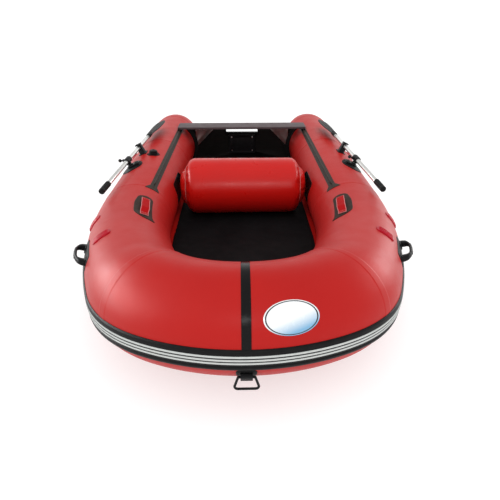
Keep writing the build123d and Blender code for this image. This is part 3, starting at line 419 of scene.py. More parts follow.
# ---- materials ----
class Surface:
    """A Principled material, with short calls for what varies over it."""

    def __init__(self, name, colour, roughness, **sockets):
        self.material = bpy.data.materials.new(name)
        self.material.use_nodes = True
        self.nodes = self.material.node_tree.nodes
        self.links = self.material.node_tree.links
        self.shader = self.nodes["Principled BSDF"]
        self.shader.inputs["Base Color"].default_value = (*colour, 1)
        self.shader.inputs["Roughness"].default_value = roughness
        self.set(self.shader, sockets)
        self.colour, self.normal = colour, None

    def set(self, node, sockets):
        for socket, value in sockets.items():
            node.inputs[socket.replace("_", " ")].default_value = value
        return node

    def node(self, kind, **sockets):
        return self.set(self.nodes.new("ShaderNode" + kind), sockets)

    def place(self, stretch=(1, 1, 1), flat=False, turn=0.0):
        """Coordinates on the piece: in space, or flat ones that follow the cloth."""
        coords = self.node("TexCoord")
        mapping = self.node("Mapping", Scale=stretch, Rotation=(0, 0, turn))
        self.links.new(coords.outputs["UV" if flat else "Object"], mapping.inputs["Vector"])
        return mapping.outputs["Vector"]

    def noise(self, scale, detail=3.0, rough=0.5, **place):
        texture = self.node("TexNoise", Scale=scale, Detail=detail, Roughness=rough)
        self.links.new(self.place(**place), texture.inputs["Vector"])
        return texture.outputs["Fac"]

    def threads(self, scale, turn, **place):
        """Parallel ridges, as of yarn or ribs."""
        texture = self.node("TexWave", Scale=scale)
        self.links.new(self.place(turn=turn, **place), texture.inputs["Vector"])
        return texture.outputs["Fac"]

    def combine(self, kind, a, b):
        maths = self.node("Math")
        maths.operation = kind
        self.links.new(a, maths.inputs[0])
        if isinstance(b, (int, float)):
            maths.inputs[1].default_value = b
        else:
            self.links.new(b, maths.inputs[1])
        return maths.outputs[0]

    def span(self, value, low, high, from_low=0.3, from_high=0.7):
        """The value brought into a range."""
        mapped = self.node("MapRange", From_Min=from_low, From_Max=from_high, To_Min=low, To_Max=high)
        self.links.new(value, mapped.inputs["Value"])
        return mapped.outputs["Result"]

    def tint(self, factor, other):
        """Blends the colour so far towards another where the factor is high."""
        mix = self.node("Mix")
        mix.data_type = "RGBA"
        source = self.shader.inputs["Base Color"]
        if source.is_linked:
            self.links.new(source.links[0].from_socket, mix.inputs[6])
        else:
            mix.inputs[6].default_value = (*self.colour, 1)
        mix.inputs[7].default_value = (*other, 1)
        self.links.new(factor, mix.inputs[0])
        self.links.new(mix.outputs[2], source)
        return self

    def gloss(self, value, low, high):
        self.links.new(self.span(value, low, high), self.shader.inputs["Roughness"])
        return self

    def bump(self, height, depth, strength=1.0):
        node = self.node("Bump", Distance=depth, Strength=strength)
        self.links.new(height, node.inputs["Height"])
        if self.normal is not None:
            self.links.new(self.normal, node.inputs["Normal"])
        self.normal = node.outputs["Normal"]
        self.links.new(self.normal, self.shader.inputs["Normal"])
        return self


def coated_fabric(name, colour, shade, roughness, specular=0.15, scrim=1.0):
    """PVC-coated polyester: a smooth film with the base cloth's weave just showing through."""
    s = Surface(name, colour, roughness[0], Specular_IOR_Level=specular)
    s.tint(s.span(s.noise(2.2, 4.0), 0.0, 0.7), shade)
    s.gloss(s.noise(9.0, 5.0, 0.6), *roughness)
    weave = s.combine("MULTIPLY", s.threads(130, 0, flat=True), s.threads(130, pi / 2, flat=True))
    s.bump(weave, 0.00012 * scrim, 0.5)
    s.bump(s.noise(14.0, 2.0), 0.0012, 0.35)
    return s.material


def moulded(name, colour, shade, roughness, grain=700, depth=0.00012):
    """Moulded plastic or rubber with a fine spark-eroded grain and slight scuffing."""
    s = Surface(name, colour, roughness[0], Specular_IOR_Level=0.09)
    s.tint(s.span(s.noise(35.0, 6.0, 0.65), 0.0, 0.8), shade)
    s.gloss(s.noise(60.0, 5.0, 0.7), *roughness)
    s.bump(s.noise(grain, 2.0), depth, 0.5)
    return s.material


def webbing(name, colour, shade):
    s = Surface(name, colour, 0.7, Specular_IOR_Level=0.06)
    s.tint(s.span(s.threads(160, pi / 4, flat=True), 0.0, 0.5), shade)
    s.bump(s.threads(160, pi / 4, flat=True), 0.0003, 0.7)
    s.bump(s.threads(160, -pi / 4, flat=True), 0.0003, 0.5)
    return s.material


def floor_mat_surface():
    """Closed-cell foam mat with small raised lozenges."""
    s = Surface("foam_mat", (0.0045, 0.0042, 0.0046), 0.55, Specular_IOR_Level=0.04)
    s.tint(s.span(s.noise(5.0, 5.0), 0.0, 0.8), (0.0085, 0.008, 0.0085))
    s.gloss(s.noise(18.0, 4.0), 0.42, 0.62)
    lozenge = s.combine("MULTIPLY", s.threads(28, pi / 4, flat=True), s.threads(28, -pi / 4, flat=True))
    s.bump(lozenge, 0.0006, 0.5)
    s.bump(s.noise(500.0, 2.0), 0.0001, 0.5)
    return s.material


def painted_wood(name, colour, shade, roughness):
    """Varnished or painted plywood whose grain runs across the boat."""
    s = Surface(name, colour, roughness[0], Specular_IOR_Level=0.06)
    grain = s.noise(12.0, 7.0, 0.6, stretch=(1.2, 14, 14))
    s.tint(s.span(grain, 0.0, 0.9), shade)
    s.gloss(s.noise(20.0, 5.0), *roughness)
    s.bump(grain, 0.0003, 0.5)
    s.bump(s.noise(240.0, 3.0, stretch=(0.3, 3, 3)), 0.00008, 0.5)
    return s.material


def metal(name, colour, shade, roughness, stretch):
    """Drawn or brushed metal: fine lines run along the piece."""
    s = Surface(name, colour, roughness[0], Metallic=1.0, Anisotropic=0.4)
    lines = s.noise(60.0, 5.0, 0.6, stretch=stretch)
    s.tint(s.span(lines, 0.0, 0.7), shade)
    s.gloss(lines, *roughness)
    s.bump(lines, 0.00003, 0.4)
    s.tint(s.span(s.noise(11.0, 5.0, 0.7), 0.0, 0.35, 0.5, 0.75), tuple(0.6 * c for c in shade))
    return s.material


def badge_surface():
    """White enamel oval with a dark rim and a plain blue lower half."""
    s = Surface("badge_print", (0.80, 0.83, 0.84), 0.22, Coat_Weight=0.6, Coat_Roughness=0.08)
    coords, split = s.node("TexCoord"), s.node("SeparateXYZ")
    s.links.new(coords.outputs["UV"], split.inputs["Vector"])
    x, y = (s.combine("DIVIDE", split.outputs[k], half) for k, half in enumerate(BADGE_HALF))
    fade = s.combine("SUBTRACT", s.combine("MULTIPLY", x, 0.45), y)
    s.tint(s.span(fade, 0.0, 0.85, 0.1, 0.85), (0.05, 0.30, 0.55))
    radius = s.combine("ADD", s.combine("MULTIPLY", x, x), s.combine("MULTIPLY", y, y))
    ring = s.combine(
        "MULTIPLY", s.combine("GREATER_THAN", radius, 0.80), s.combine("LESS_THAN", radius, 0.90)
    )
    s.tint(ring, (0.012, 0.014, 0.02))
    s.gloss(s.noise(60.0, 4.0), 0.18, 0.30)
    s.bump(s.noise(300.0, 2.0), 0.00004, 0.5)
    return s.material


RED, DEEP_RED = (0.440, 0.0095, 0.0070), (0.385, 0.0070, 0.0060)
red_pvc = coated_fabric("red_pvc", RED, DEEP_RED, (0.38, 0.47))
# The thwart's red is the hull's fabric made brighter: painted light, standing in for the light that
# falls on the thwart's front.
THWART_RED_LIT, THWART_DEEP_RED_LIT = (0.54, 0.0075, 0.0050), (0.46, 0.005, 0.004)
TAPE_BLACK, TAPE_WORN = (0.006, 0.0055, 0.006), (0.010, 0.009, 0.009)
red_thwart_lit = coated_fabric("red_thwart_pvc", THWART_RED_LIT, THWART_DEEP_RED_LIT, (0.26, 0.34), 0.24, 0.25)
black_pvc = coated_fabric("black_tape_pvc", TAPE_BLACK, TAPE_WORN, (0.14, 0.22), 0.09)
patch_pvc = coated_fabric("patch_pvc", (0.024, 0.013, 0.009), (0.036, 0.021, 0.015), (0.45, 0.6), 0.06)
rail_rubber = moulded("rail_rubber", (0.024, 0.017, 0.013), (0.040, 0.030, 0.023), (0.40, 0.55))
strake_rubber = moulded("strake_rubber", (0.0050, 0.0052, 0.0056), (0.010, 0.010, 0.010), (0.34, 0.48))
stripe_rubber = moulded("stripe_rubber", (0.56, 0.58, 0.56), (0.46, 0.48, 0.47), (0.38, 0.5))
black_rubber = moulded("black_rubber", (0.0065, 0.0065, 0.007), (0.013, 0.013, 0.013), (0.45, 0.6))
black_plastic = moulded("black_plastic", (0.0065, 0.0065, 0.007), (0.013, 0.013, 0.014), (0.30, 0.44))
blade_plastic = moulded("blade_plastic", (0.012, 0.012, 0.013), (0.028, 0.028, 0.029), (0.42, 0.55))
ring_plastic = moulded("ring_plastic", (0.035, 0.040, 0.036), (0.060, 0.068, 0.062), (0.38, 0.5))
red_tab = moulded("red_moulding", (0.42, 0.004, 0.018), (0.30, 0.003, 0.012), (0.28, 0.40))
strap_red = webbing("strap_webbing", (0.42, 0.006, 0.008), (0.30, 0.004, 0.006))
# Pale pink on the straps' edges is a painted highlight: the light caught by the raised edges.
strap_edge_highlight = webbing("strap_edge_highlight_paint", (0.62, 0.22, 0.22), (0.50, 0.16, 0.16))
# The welts' pale pink is a painted highlight on the puckered seams.
seam_welt_highlight = webbing("seam_welt", (0.60, 0.22, 0.21), (0.50, 0.06, 0.06))
thread_pale = webbing("sewing_thread", (0.55, 0.22, 0.20), (0.42, 0.16, 0.15))
mat_foam = floor_mat_surface()
board_black = painted_wood("transom_paint", (0.008, 0.008, 0.008), (0.014, 0.013, 0.012), (0.4, 0.55))
board_grey = painted_wood("seat_board_paint", (0.070, 0.050, 0.054), (0.105, 0.080, 0.084), (0.35, 0.5))
bracket_metal = metal("bracket_alloy", (0.50, 0.56, 0.54), (0.42, 0.47, 0.46), (0.32, 0.46), (1, 8, 1))
oar_metal = metal("oar_alloy", (0.78, 0.78, 0.76), (0.66, 0.66, 0.64), (0.22, 0.34), (10, 0.6, 10))
bolt_steel = metal("bolt_steel", (0.62, 0.62, 0.64), (0.52, 0.52, 0.54), (0.22, 0.35), (6, 6, 1))
badge_print = badge_surface()


# ---- hull tube ----
SEAM_HALF, SEAM_EDGE, SEAM_THICK = 0.014, 0.0035, 0.0011
GIRTH_SEAMS = (
    distance_at(radians(46)), HALF_BOW - 0.02, side_distance(0.62), side_distance(CONE_START_Y - 0.01),
)
LONG_SEAM_ANGLE = 222.0


def seam_rise(distance, angle):
    """How far the overlapped seams lift the fabric, with the small puckers beside them."""
    rise = 0.0
    for place in GIRTH_SEAMS:
        gap = abs(abs(distance) - place)
        rise = max(rise, SEAM_THICK * smooth_step((SEAM_HALF - gap) / SEAM_EDGE + 0.5))
        pucker = sin(radians(angle) * 31) * exp(-((gap - SEAM_HALF) / 0.02) ** 2)
        rise += 0.00035 * pucker * (0.5 + 0.5 * noise.noise(Vector((angle / 17, distance, 0))))
    beside = abs(angle - LONG_SEAM_ANGLE) * radians(1) * TUBE_R
    return max(rise, SEAM_THICK * smooth_step((SEAM_HALF - beside) / SEAM_EDGE + 0.5))


def hull_tube():
    """The whole inflated tube, from one stern cone round the bow to the other."""
    half = HALF_BOW + SIDE_LENGTH
    places = set(spread(0, half, 0.017))
    for seam in GIRTH_SEAMS:
        for side in (-1, 1):
            places |= {seam + side * SEAM_HALF + k * SEAM_EDGE / 2 for k in (-2, -1, 0, 1, 2)}
    ahead = sorted(p for p in places if p <= half)
    distances = [-p for p in reversed(ahead) if p > 0] + ahead
    angles = [-90 + 360 * j / 160 for j in range(161)]
    near = [LONG_SEAM_ANGLE + k * 0.45 + s * 3.6 for s in (-1, 1) for k in (-1, 0, 1)]
    angles = sorted(set(angles + near))
    rows = []
    for d in distances:
        rows.append([(skin_point(d, a, seam_rise(d, a)), (d, radians(a) * TUBE_R)) for a in angles])
    chambers = "bow_chamber", "port_side_chamber", "starboard_side_chamber"
    return Shape().strip(rows).piece("hull_tube", red_pvc, "red_pvc", *chambers)


# ---- strips on the tube ----
def strake_distances():
    end = side_distance(STRAKE_END_Y)
    ahead = spread(0, end - 0.03, 0.02) + spread(end - 0.025, end, 0.006)
    return [-d for d in reversed(ahead) if d > 0] + ahead


def strake_taper(distance):
    """The strips thin out over their last few centimetres."""
    left = side_distance(STRAKE_END_Y) - abs(distance)
    return 0.25 + 0.75 * smooth_step(left / 0.03)


def rub_strake():
    """Extruded rubber: a stepped upper edge, grooves beside the stripes and a low round bead."""
    top = STRAKE_THICK
    profile = [(STRAKE_LOW, -0.0006), (STRAKE_LOW, 0.0035), (STRAKE_LOW + 0.5, 0.0055)]
    for k in range(9):
        turn = pi * k / 8
        profile.append((-12.2 - 2.6 * cos(turn), 0.0066 + 0.0042 * sin(turn)))
    for stripe in reversed(STRIPE_ANGLES):
        low, high, groove = stripe - STRIPE_HALF_ANGLE, stripe + STRIPE_HALF_ANGLE, top - 0.0012
        profile += [(low - 0.45, top), (low - 0.2, groove), (high + 0.2, groove), (high + 0.45, top)]
    profile += [(STRAKE_HIGH - 1.6, top), (STRAKE_HIGH - 1.1, top - 0.001), (STRAKE_HIGH - 0.5, 0.0035)]
    profile += [(STRAKE_HIGH, 0.002), (STRAKE_HIGH, -0.0006)]
    shape = swept_profile(Shape(), strake_distances(), profile, strake_taper)
    return shape.piece("rubbing_strake", strake_rubber, "black_rubber", "rub_strake", crease=30)


def strake_stripes():
    shape = Shape()
    for stripe in STRIPE_ANGLES:
        low, high = stripe - STRIPE_HALF_ANGLE, stripe + STRIPE_HALF_ANGLE
        base, top = STRAKE_THICK - 0.002, STRAKE_THICK + 0.0011
        profile = [(low, base), (low, top - 0.0006), (low + 0.25, top), (high - 0.25, top)]
        profile += [(high, top - 0.0006), (high, base)]
        swept_profile(shape, strake_distances(), profile, strake_taper)
    return shape.piece("strake_inlays", stripe_rubber, "pale_stripe", "strake_stripes", crease=50)


def bow_tape():
    """Wide tape over the bow's middle seam, with raised edges where it is rolled down."""
    rows = []
    profile = [(-1.0, -0.0006), (-1.0, 0.0008), (-0.97, TAPE_THICK), (-0.8, TAPE_THICK * 1.15)]
    profile += [(-0.7, TAPE_THICK), (0.7, TAPE_THICK), (0.8, TAPE_THICK * 1.15), (0.97, TAPE_THICK)]
    profile += [(1.0, 0.0008), (1.0, -0.0006)]
    for angle in spread(STRAKE_HIGH - 0.5, 196, 1.6):
        stretch = 1 + TUBE_R * cos(radians(angle)) / FRONT_R
        row = []
        for share, lift in [*profile, profile[0]]:
            x = share * TAPE_HALF_WIDTH
            row.append((skin_point(x / stretch, angle, lift), (x, radians(angle) * TUBE_R)))
        rows.append(row)
    return Shape().strip(rows).piece("bow_tape", black_pvc, "black_pvc", "bow_seam_tape")


def seat_rails():
    """Glued strip with a sewn-in bead; the strip spreads at its front end."""
    shape = Shape()
    front, back = side_distance(RAIL_FRONT_Y), side_distance(RAIL_BACK_Y)
    distances = spread(front - RAIL_FLARE, front + 0.012, 0.006) + spread(front + 0.03, back, 0.03)

    def flare(distance):
        return smooth_step((front + 0.004 - distance) / RAIL_FLARE)

    rows = []
    for d in distances:
        half = degrees(RAIL_HALF_WIDTH / TUBE_R) * (1 + 1.05 * flare(d))
        thick = RAIL_THICK * (1 - 0.45 * flare(d))
        profile = [(-1, -0.0006), (-1, 0.5), (-0.96, 0.8), (-0.86, 0.9), (-0.3, 1.0), (-0.22, 1.15)]
        profile += [(0.22, 1.15), (0.3, 1.0), (0.86, 0.9), (0.96, 0.8), (1, 0.5), (1, -0.0006)]
        row = []
        for share, rise in [*profile, profile[0]]:
            lift = thick * rise if rise > 0 else rise
            row.append((skin_point(d, RAIL_ANGLE + share * half, lift), (d, share * RAIL_HALF_WIDTH)))
        rows.append(row)
    shape.strip(rows)
    rows = []
    for d in [front + 0.0005, front + 0.002, front + 0.006] + spread(front + 0.03, back, 0.03):
        size = min(1.0, 0.45 + 0.55 * (d - front) / 0.006)
        ring = [(-0.0026, RAIL_THICK * 0.8), (-0.0025, 0.0085)]
        for k in range(13):
            turn = radians(-115 - 310 * k / 12)
            ring.append((BEAD_R * cos(turn) * size, BEAD_LIFT - 0.001 + BEAD_R * sin(turn) * size))
        ring += [(0.0025, 0.0085), (0.0026, RAIL_THICK * 0.8)]
        row = [
            (skin_point(d, RAIL_ANGLE + degrees(x / (TUBE_R + lift)), lift), (d, x + lift))
            for x, lift in [*ring, ring[0]]
        ]
        rows.append(row)
    shape.strip(rows).mirrored()
    return shape.piece("seat_rail_strips", rail_rubber, "black_rubber", "seat_rails", crease=35)


# ---- floor and bottom ----
def floor_plan(inset, back_y):
    """Outline that keeps the same distance inside the tube's axis."""
    ahead = []
    for distance in spread(0, HALF_BOW, 0.02):
        centre, outward, _ = station(distance)
        point = centre - outward * inset
        ahead.append(Vector((point.x, point.y)))
    port = ahead + [Vector((ahead[-1].x, back_y))]
    return port + [Vector((-p.x, p.y)) for p in reversed(port[1:])]


def air_floor():
    """Drop-stitch panel: flat, with a full round edge."""
    shape = sheet(
        Shape(), floor_plan(FLOOR_INSET, FLOOR_BACK_Y), flat_place(FLOOR_Z),
        FLOOR_TOP_Z - FLOOR_Z, 0.022, 0.03, sunk=0.0,
    )
    return shape.piece("floor_panel", red_pvc, "red_pvc", "air_floor")


def floor_mat():
    plan = floor_plan(FLOOR_INSET + MAT_MARGIN, FLOOR_BACK_Y - MAT_MARGIN / 2)
    shape = sheet(Shape(), plan, flat_place(FLOOR_TOP_Z), MAT_THICK, 0.003, 0.03)
    return shape.piece("cockpit_mat", mat_foam, "black_mat", "floor_mat")


KEEL_Z, KEEL_CLIMB, CLIMB_START_Y = 0.004, 0.092, -1.290
KEEL_HALF_WIDTH, EDGE_SHAPE, STEM_SLOPE = 0.075, 7, 0.008


def keel_height(y):
    """Underside of the skin on the centre line: flat aft, then climbing to the stem."""
    climb = max(0.0, (CLIMB_START_Y - y) / (CLIMB_START_Y - BOW_TIP_Y))
    return KEEL_Z + KEEL_CLIMB * climb**2


def bottom_skin():
    """Fabric bottom from tube to tube, closed against the bow's underside."""
    rows = []
    distances = spread(0.02, HALF_BOW, 0.03) + spread(HALF_BOW + 0.05, side_distance(TRANSOM_BACK), 0.05)
    for distance in distances:
        edge = skin_point(distance, -102, 0.0006)
        keel_z = keel_height(edge.y)
        edge_z = edge.z - SKIN_THICK
        keel = min(KEEL_HALF_WIDTH, 0.4 * edge.x) / edge.x
        row = []
        for k in range(-20, 21):
            share = k / 20
            rise = max(0.0, (abs(share) - keel) / (1 - keel)) ** EDGE_SHAPE
            z = keel_z + (edge_z - keel_z) * rise
            row.append((Vector((share * edge.x, edge.y, z)), (share * edge.x, edge.y)))
        if not rows:
            front_y = edge.y - STEM_SLOPE
            rows.append([(Vector((point.x, front_y, edge_z)), (point.x, front_y)) for point, _ in row])
        rows.append(row)
    made = Shape().grid(rows).piece("bottom_fabric", red_pvc, "red_pvc", "bottom_skin")
    thick = made.modifiers.new("thickness", "SOLIDIFY")
    thick.thickness = SKIN_THICK
    thick.offset = 1 if made.data.polygons[0].normal.z > 0 else -1
    return made


# ---- thwart ----
THWART_ROUND, END_PANEL_R = 0.085, 0.156
START_GAP, PANEL_DOME, SHOULDER_RUN = 0.012, 0.020, 0.060
MAT_GAP, OVERFILL, SAG, CLOTH_FRAMES = 0.0005, 0.001, 0.003, 20
WELT_HALF_WIDTH, WELT_HALF_HEIGHT, WELT_LIFT = 0.0034, 0.0022, 0.0012
PANEL_RINGS, SHOULDER_RINGS, BODY_RINGS = 10, 9, 60


def thwart_rings():
    """Start shape of the thwart's cover: radius and place along its axis, end to end."""
    half, radius = THWART_HALF_LENGTH - START_GAP, THWART_R - 0.006
    seam_x = START_GAP - half
    rings = []
    for k in range(1, PANEL_RINGS + 1):
        share = k / PANEL_RINGS
        rings.append((END_PANEL_R * share, seam_x - PANEL_DOME * cos(pi / 2 * share)))
    for k in range(1, SHOULDER_RINGS + 1):
        turn = pi / 2 * k / SHOULDER_RINGS
        reach = END_PANEL_R + (radius - END_PANEL_R) * sin(turn)
        rings.append((reach, seam_x + SHOULDER_RUN * (1 - cos(turn))))
    body_half = half - START_GAP - SHOULDER_RUN
    mirrored = [(r, -x) for r, x in reversed(rings)]
    rings += [(radius, body_half * (2 * k / BODY_RINGS - 1)) for k in range(1, BODY_RINGS)]
    return rings + mirrored


THWART_AROUND = 110


def thwart_mesh():
    mesh = bpy.data.meshes.new("thwart_cover")
    rings = thwart_rings()
    points = [(-THWART_HALF_LENGTH + 0.006, 0, 0)]
    for radius, x in rings:
        for k in range(THWART_AROUND):
            turn = 2 * pi * k / THWART_AROUND
            points.append((x, radius * cos(turn), radius * sin(turn)))
    points.append((THWART_HALF_LENGTH - 0.006, 0, 0))
    faces = []
    last = len(rings) - 1
    for k in range(THWART_AROUND):
        after = (k + 1) % THWART_AROUND
        faces.append((0, 1 + after, 1 + k))
        for i in range(last):
            a, b = 1 + i * THWART_AROUND, 1 + (i + 1) * THWART_AROUND
            faces.append((a + k, a + after, b + after, b + k))
        end = 1 + last * THWART_AROUND
        faces.append((end + k, end + after, len(points) - 1))
    mesh.from_pydata(points, [], faces)
    return mesh, rings


def inflate(cover, rings):
    """Blows the cover up as cloth; its end seams are gathered, so the fabric puckers there."""
    seams = cover.vertex_groups.new(name="seams")
    for row in (PANEL_RINGS - 1, len(rings) - PANEL_RINGS):
        for near, weight in ((-1, 0.5), (0, 1.0), (1, 0.5)):
            first = 1 + (row + near) * THWART_AROUND
            seams.add(list(range(first, first + THWART_AROUND)), weight, "REPLACE")
    cloth = cover.modifiers.new("cloth", "CLOTH").settings
    cloth.quality = 6
    cloth.mass = 0.4
    cloth.tension_stiffness = cloth.compression_stiffness = 40
    cloth.shear_stiffness = 20
    cloth.bending_stiffness = 1.5
    cloth.use_pressure = True
    cloth.uniform_pressure_force = 5
    cloth.vertex_group_shrink = "seams"
    cloth.shrink_min, cloth.shrink_max = 0.0, 0.14
    cloth.effector_weights.gravity = 0
    scene = bpy.context.scene
    for step in range(1, CLOTH_FRAMES + 1):
        scene.frame_set(step)
    blown = cover.evaluated_get(bpy.context.evaluated_depsgraph_get()).to_mesh()
    places = [v.co.copy() for v in blown.vertices]
    cover.modifiers.clear()
    scene.frame_set(1)
    return relaxed(places, rings)


def relaxed(places, rings):
    """Takes the cloth's fine jitter out of the body, and leaves the gathers by the seams."""
    for _ in range(4):
        before = [p.copy() for p in places]
        for i in range(PANEL_RINGS + 3, len(rings) - PANEL_RINGS - 3):
            for k in range(THWART_AROUND):
                around = (i, k - 1), (i, k + 1), (i - 1, k), (i + 1, k)
                near = [before[1 + a * THWART_AROUND + b % THWART_AROUND] for a, b in around]
                places[1 + i * THWART_AROUND + k] = sum(near, Vector()) / 4
    return places


def thwart_room(point):
    """Pulls a point back inside the thwart's room, which has rounded ends."""
    radius = hypot(point.y, point.z)
    beyond_x = abs(point.x) - (THWART_HALF_LENGTH - THWART_ROUND)
    beyond_r = radius - (THWART_R - THWART_ROUND)
    if beyond_x <= 0 or beyond_r <= 0:
        limits = (THWART_R, radius), (THWART_HALF_LENGTH, abs(point.x))
        return [min(1.0, limit / max(size, 1e-6)) for limit, size in limits]
    reach = hypot(beyond_x, beyond_r)
    if reach <= THWART_ROUND:
        return 1.0, 1.0
    share = THWART_ROUND / reach
    return (
        (THWART_R - THWART_ROUND + beyond_r * share) / radius,
        (THWART_HALF_LENGTH - THWART_ROUND + beyond_x * share) / abs(point.x),
    )


def seated(places):
    """The cover at its real size, kept inside its room and resting on the mat."""
    across = max(hypot(p.y, p.z) for p in places)
    along = max(abs(p.x) for p in places)
    floor_z = FLOOR_TOP_Z + MAT_THICK + MAT_GAP
    made = []
    for p in places:
        y, z = (v * (THWART_R + OVERFILL) / across for v in (p.y, p.z))
        grown = Vector((p.x * THWART_HALF_LENGTH / along, y, z))
        shrink_r, shrink_x = thwart_room(grown)
        grown = Vector((grown.x * shrink_x, grown.y * shrink_r, grown.z * shrink_r))
        z = THWART_Z - SAG + grown.z
        made.append(Vector((grown.x, THWART_Y + grown.y, max(z, floor_z))))
    return made


def seam_welts(places, rings):
    """Ruffled welts over the seams round the cover's ends, pale pink as a painted highlight on the
    puckers.
    """
    welts = Shape()
    for row in (PANEL_RINGS - 1, len(rings) - PANEL_RINGS):
        first = 1 + row * THWART_AROUND
        ring = [places[first + k % THWART_AROUND] for k in range(THWART_AROUND + 1)]
        middle = Vector((ring[0].x, THWART_Y, THWART_Z))
        rows = []
        for k, p in enumerate(ring):
            out = (p - middle).normalized() * 0.6 + Vector((ring[0].x, 0, 0)).normalized() * 0.5
            out.normalize()
            before = ring[k - 1 if k else THWART_AROUND - 1]
            run = (ring[(k + 1) % THWART_AROUND] - before).normalized()
            half = WELT_HALF_WIDTH * (1 + 0.25 * sin(k * 2.4))
            loop = ring_about(p + out * WELT_LIFT, out, run.cross(out), half, WELT_HALF_HEIGHT, 8)
            rows.append([(q, (k * 0.011, flat[0])) for q, flat in loop])
        welts.grid(rows)
    return welts.piece("thwart_seam_welts", seam_welt_highlight, "red_pvc", body="thwart")


def thwart():
    """The inflated cover, which stands for the CAD's bolster, and its welts."""
    mesh, rings = thwart_mesh()
    cover = placed("thwart_cover", mesh)
    places = [v.co.copy() for v in mesh.vertices]
    places = inflate(cover, rings)
    places = seated(places)
    mesh.vertices.foreach_set("co", [c for p in places for c in p])
    layer = mesh.uv_layers.new(name="flat")
    for loop in mesh.loops:
        p = places[loop.vertex_index]
        turn = atan2(p.z - THWART_Z, p.y - THWART_Y)
        layer.data[loop.index].uv = (p.x, turn * THWART_R)
    # The brightened red is painted light on the thwart.
    mesh.materials.append(red_thwart_lit)
    mesh.polygons.foreach_set("use_smooth", [True] * len(mesh.polygons))
    smooth = cover.modifiers.new("smooth", "SUBSURF")
    smooth.levels = smooth.render_levels = 1
    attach(cover, "thwart")
    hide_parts("thwart_bolster")
    return cover, seam_welts(places, rings)


# ---- glued patches and straps ----
def glued_pad(name, node, surface, outline, place, sizes, relief=None):
    """The same pad on both tubes; sizes are its thickness, its edge's width and the mesh's spacing."""
    shape = sheet(Shape(), outline, place, *sizes, relief=relief).mirrored()
    return shape.piece(name, surface, "black_pvc", node)


def mount_patches():
    """Black wear patches where the thwart's ends bear on the tubes."""
    place = skin_place(side_distance(THWART_Y), WEAR_PATCH_ANGLE)
    outline, sizes = box_outline(0.300, 0.160, 0.045), (0.0014, 0.0015, 0.02)
    return glued_pad("thwart_wear_patches", "thwart_mount_patches", black_pvc, outline, place, sizes)


def rowlock_patches():
    """Almond-shaped pads, each made of two arcs."""
    radius, tip, back = 0.1283, radians(66.9), 0.392
    outline = []
    for side in (1, -1):
        for k in range(16):
            turn = tip * (k / 8 - 1)
            outline.append(Vector((radius * sin(turn), radius * (back - cos(turn)))) * side)
    place = skin_place(side_distance(ROWLOCK_Y), ROWLOCK_ANGLE)
    rim = rim_relief(outline, 0.012, 0.0012)
    sizes = (0.0033, 0.004, 0.01)
    return glued_pad("rowlock_pads", "rowlock_patches", black_rubber, outline, place, sizes, rim)


def rim_relief(outline, margin, rise):
    """A raised border just inside an outline."""

    def relief(x, y):
        gap = edge_distance(Vector((x, y)), outline)
        return rise * (smooth_step((margin - gap) / 0.003 + 0.5) - 0.3)

    return relief


def accessory_patch():
    corners = [(0.052 * cos(radians(60 * k + 30)), 0.052 * sin(radians(60 * k + 30))) for k in range(6)]
    place = skin_place(side_distance(ACCESSORY_Y), ACCESSORY_ANGLE)
    port = sheet(Shape(), rounded(corners, 0.009), place, 0.0028, 0.003, 0.009)
    port.points = [Vector((-p[0], p[1], p[2])) for p in port.points]
    return port.piece("accessory_pad", black_rubber, "black_pvc", "accessory_patch")


def bow_ring_patch():
    outline, place = box_outline(0.080, 0.060, 0.018), skin_place(0, BOW_RING_ANGLE)
    shape = sheet(Shape(), outline, place, 0.0033, 0.004, 0.008)
    return shape.piece("towing_ring_pad", black_rubber, "black_pvc", "bow_ring_patch")


def handle_patches():
    outline, sizes = box_outline(0.236, 0.088, 0.028), (0.0033, 0.005, 0.012)
    return glued_pad("handle_pads", "side_handle_patches", black_rubber, outline, HANDLE_PLACE, sizes)


FOOT_SHARE, GROOVE_DEPTH, FINGER_PITCH = 0.10, 0.0012, 0.021


def side_handles():
    """Moulded arches: flat feet that sweep up into a rounded grip with finger grooves."""
    shape = Shape()
    points, sizes = [], []
    for k in range(49):
        t = k / 24 - 1
        x = HANDLE_HALF * (1.0 - FOOT_SHARE) * (1 if t > 0 else -1) * abs(t) ** 0.85
        arch = (1 - abs(t) ** 3.2) ** 0.62
        foot = smooth_step((abs(t) - 0.62) / 0.38)
        groove = GROOVE_DEPTH * cos(x * 2 * pi / FINGER_PITCH) * (1 - foot)
        points.append(HANDLE_PLACE(x, 0, 0.002 + (HANDLE_HEIGHT - 0.008) * arch))
        sizes.append((HANDLE_WIDTH / 2 * (0.78 + 0.22 * foot), 0.0066 + 0.012 * foot + groove))
    across = (HANDLE_PLACE(0, 0.01, 0.03) - HANDLE_PLACE(0, -0.01, 0.03)).normalized()
    tube_along(shape, points, across, sizes, 20, 3.0)
    for side in (-1, 1):
        foot = box_outline(0.052, 0.042, 0.014)
        moved = [p + Vector((side * (HANDLE_HALF - 0.024), 0)) for p in foot]
        sheet(shape, moved, HANDLE_PLACE, 0.0085, 0.005, 0.008)
    return shape.mirrored().piece("grab_handles", black_plastic, "black_plastic", "side_handles")


def carry_patches():
    corners = [(-192, 64), (-146, 48), (152, 48), (178, 8)]
    corners += [(160, -44), (60, -58), (-96, -56), (-160, -14)]
    outline = rounded([(x / 1000, y / 1000) for x, y in corners], 0.03)
    sizes = (0.0028, 0.003, 0.012)
    return glued_pad("carry_pads", "carry_handle_patches", patch_pvc, outline, CARRY_PLACE, sizes)


def strap_lift(x):
    """Height of the strap over the patch: flat ends and a slack raised middle."""
    return 0.0046 + 0.0205 * smooth_step((0.096 - abs(x)) / 0.036)


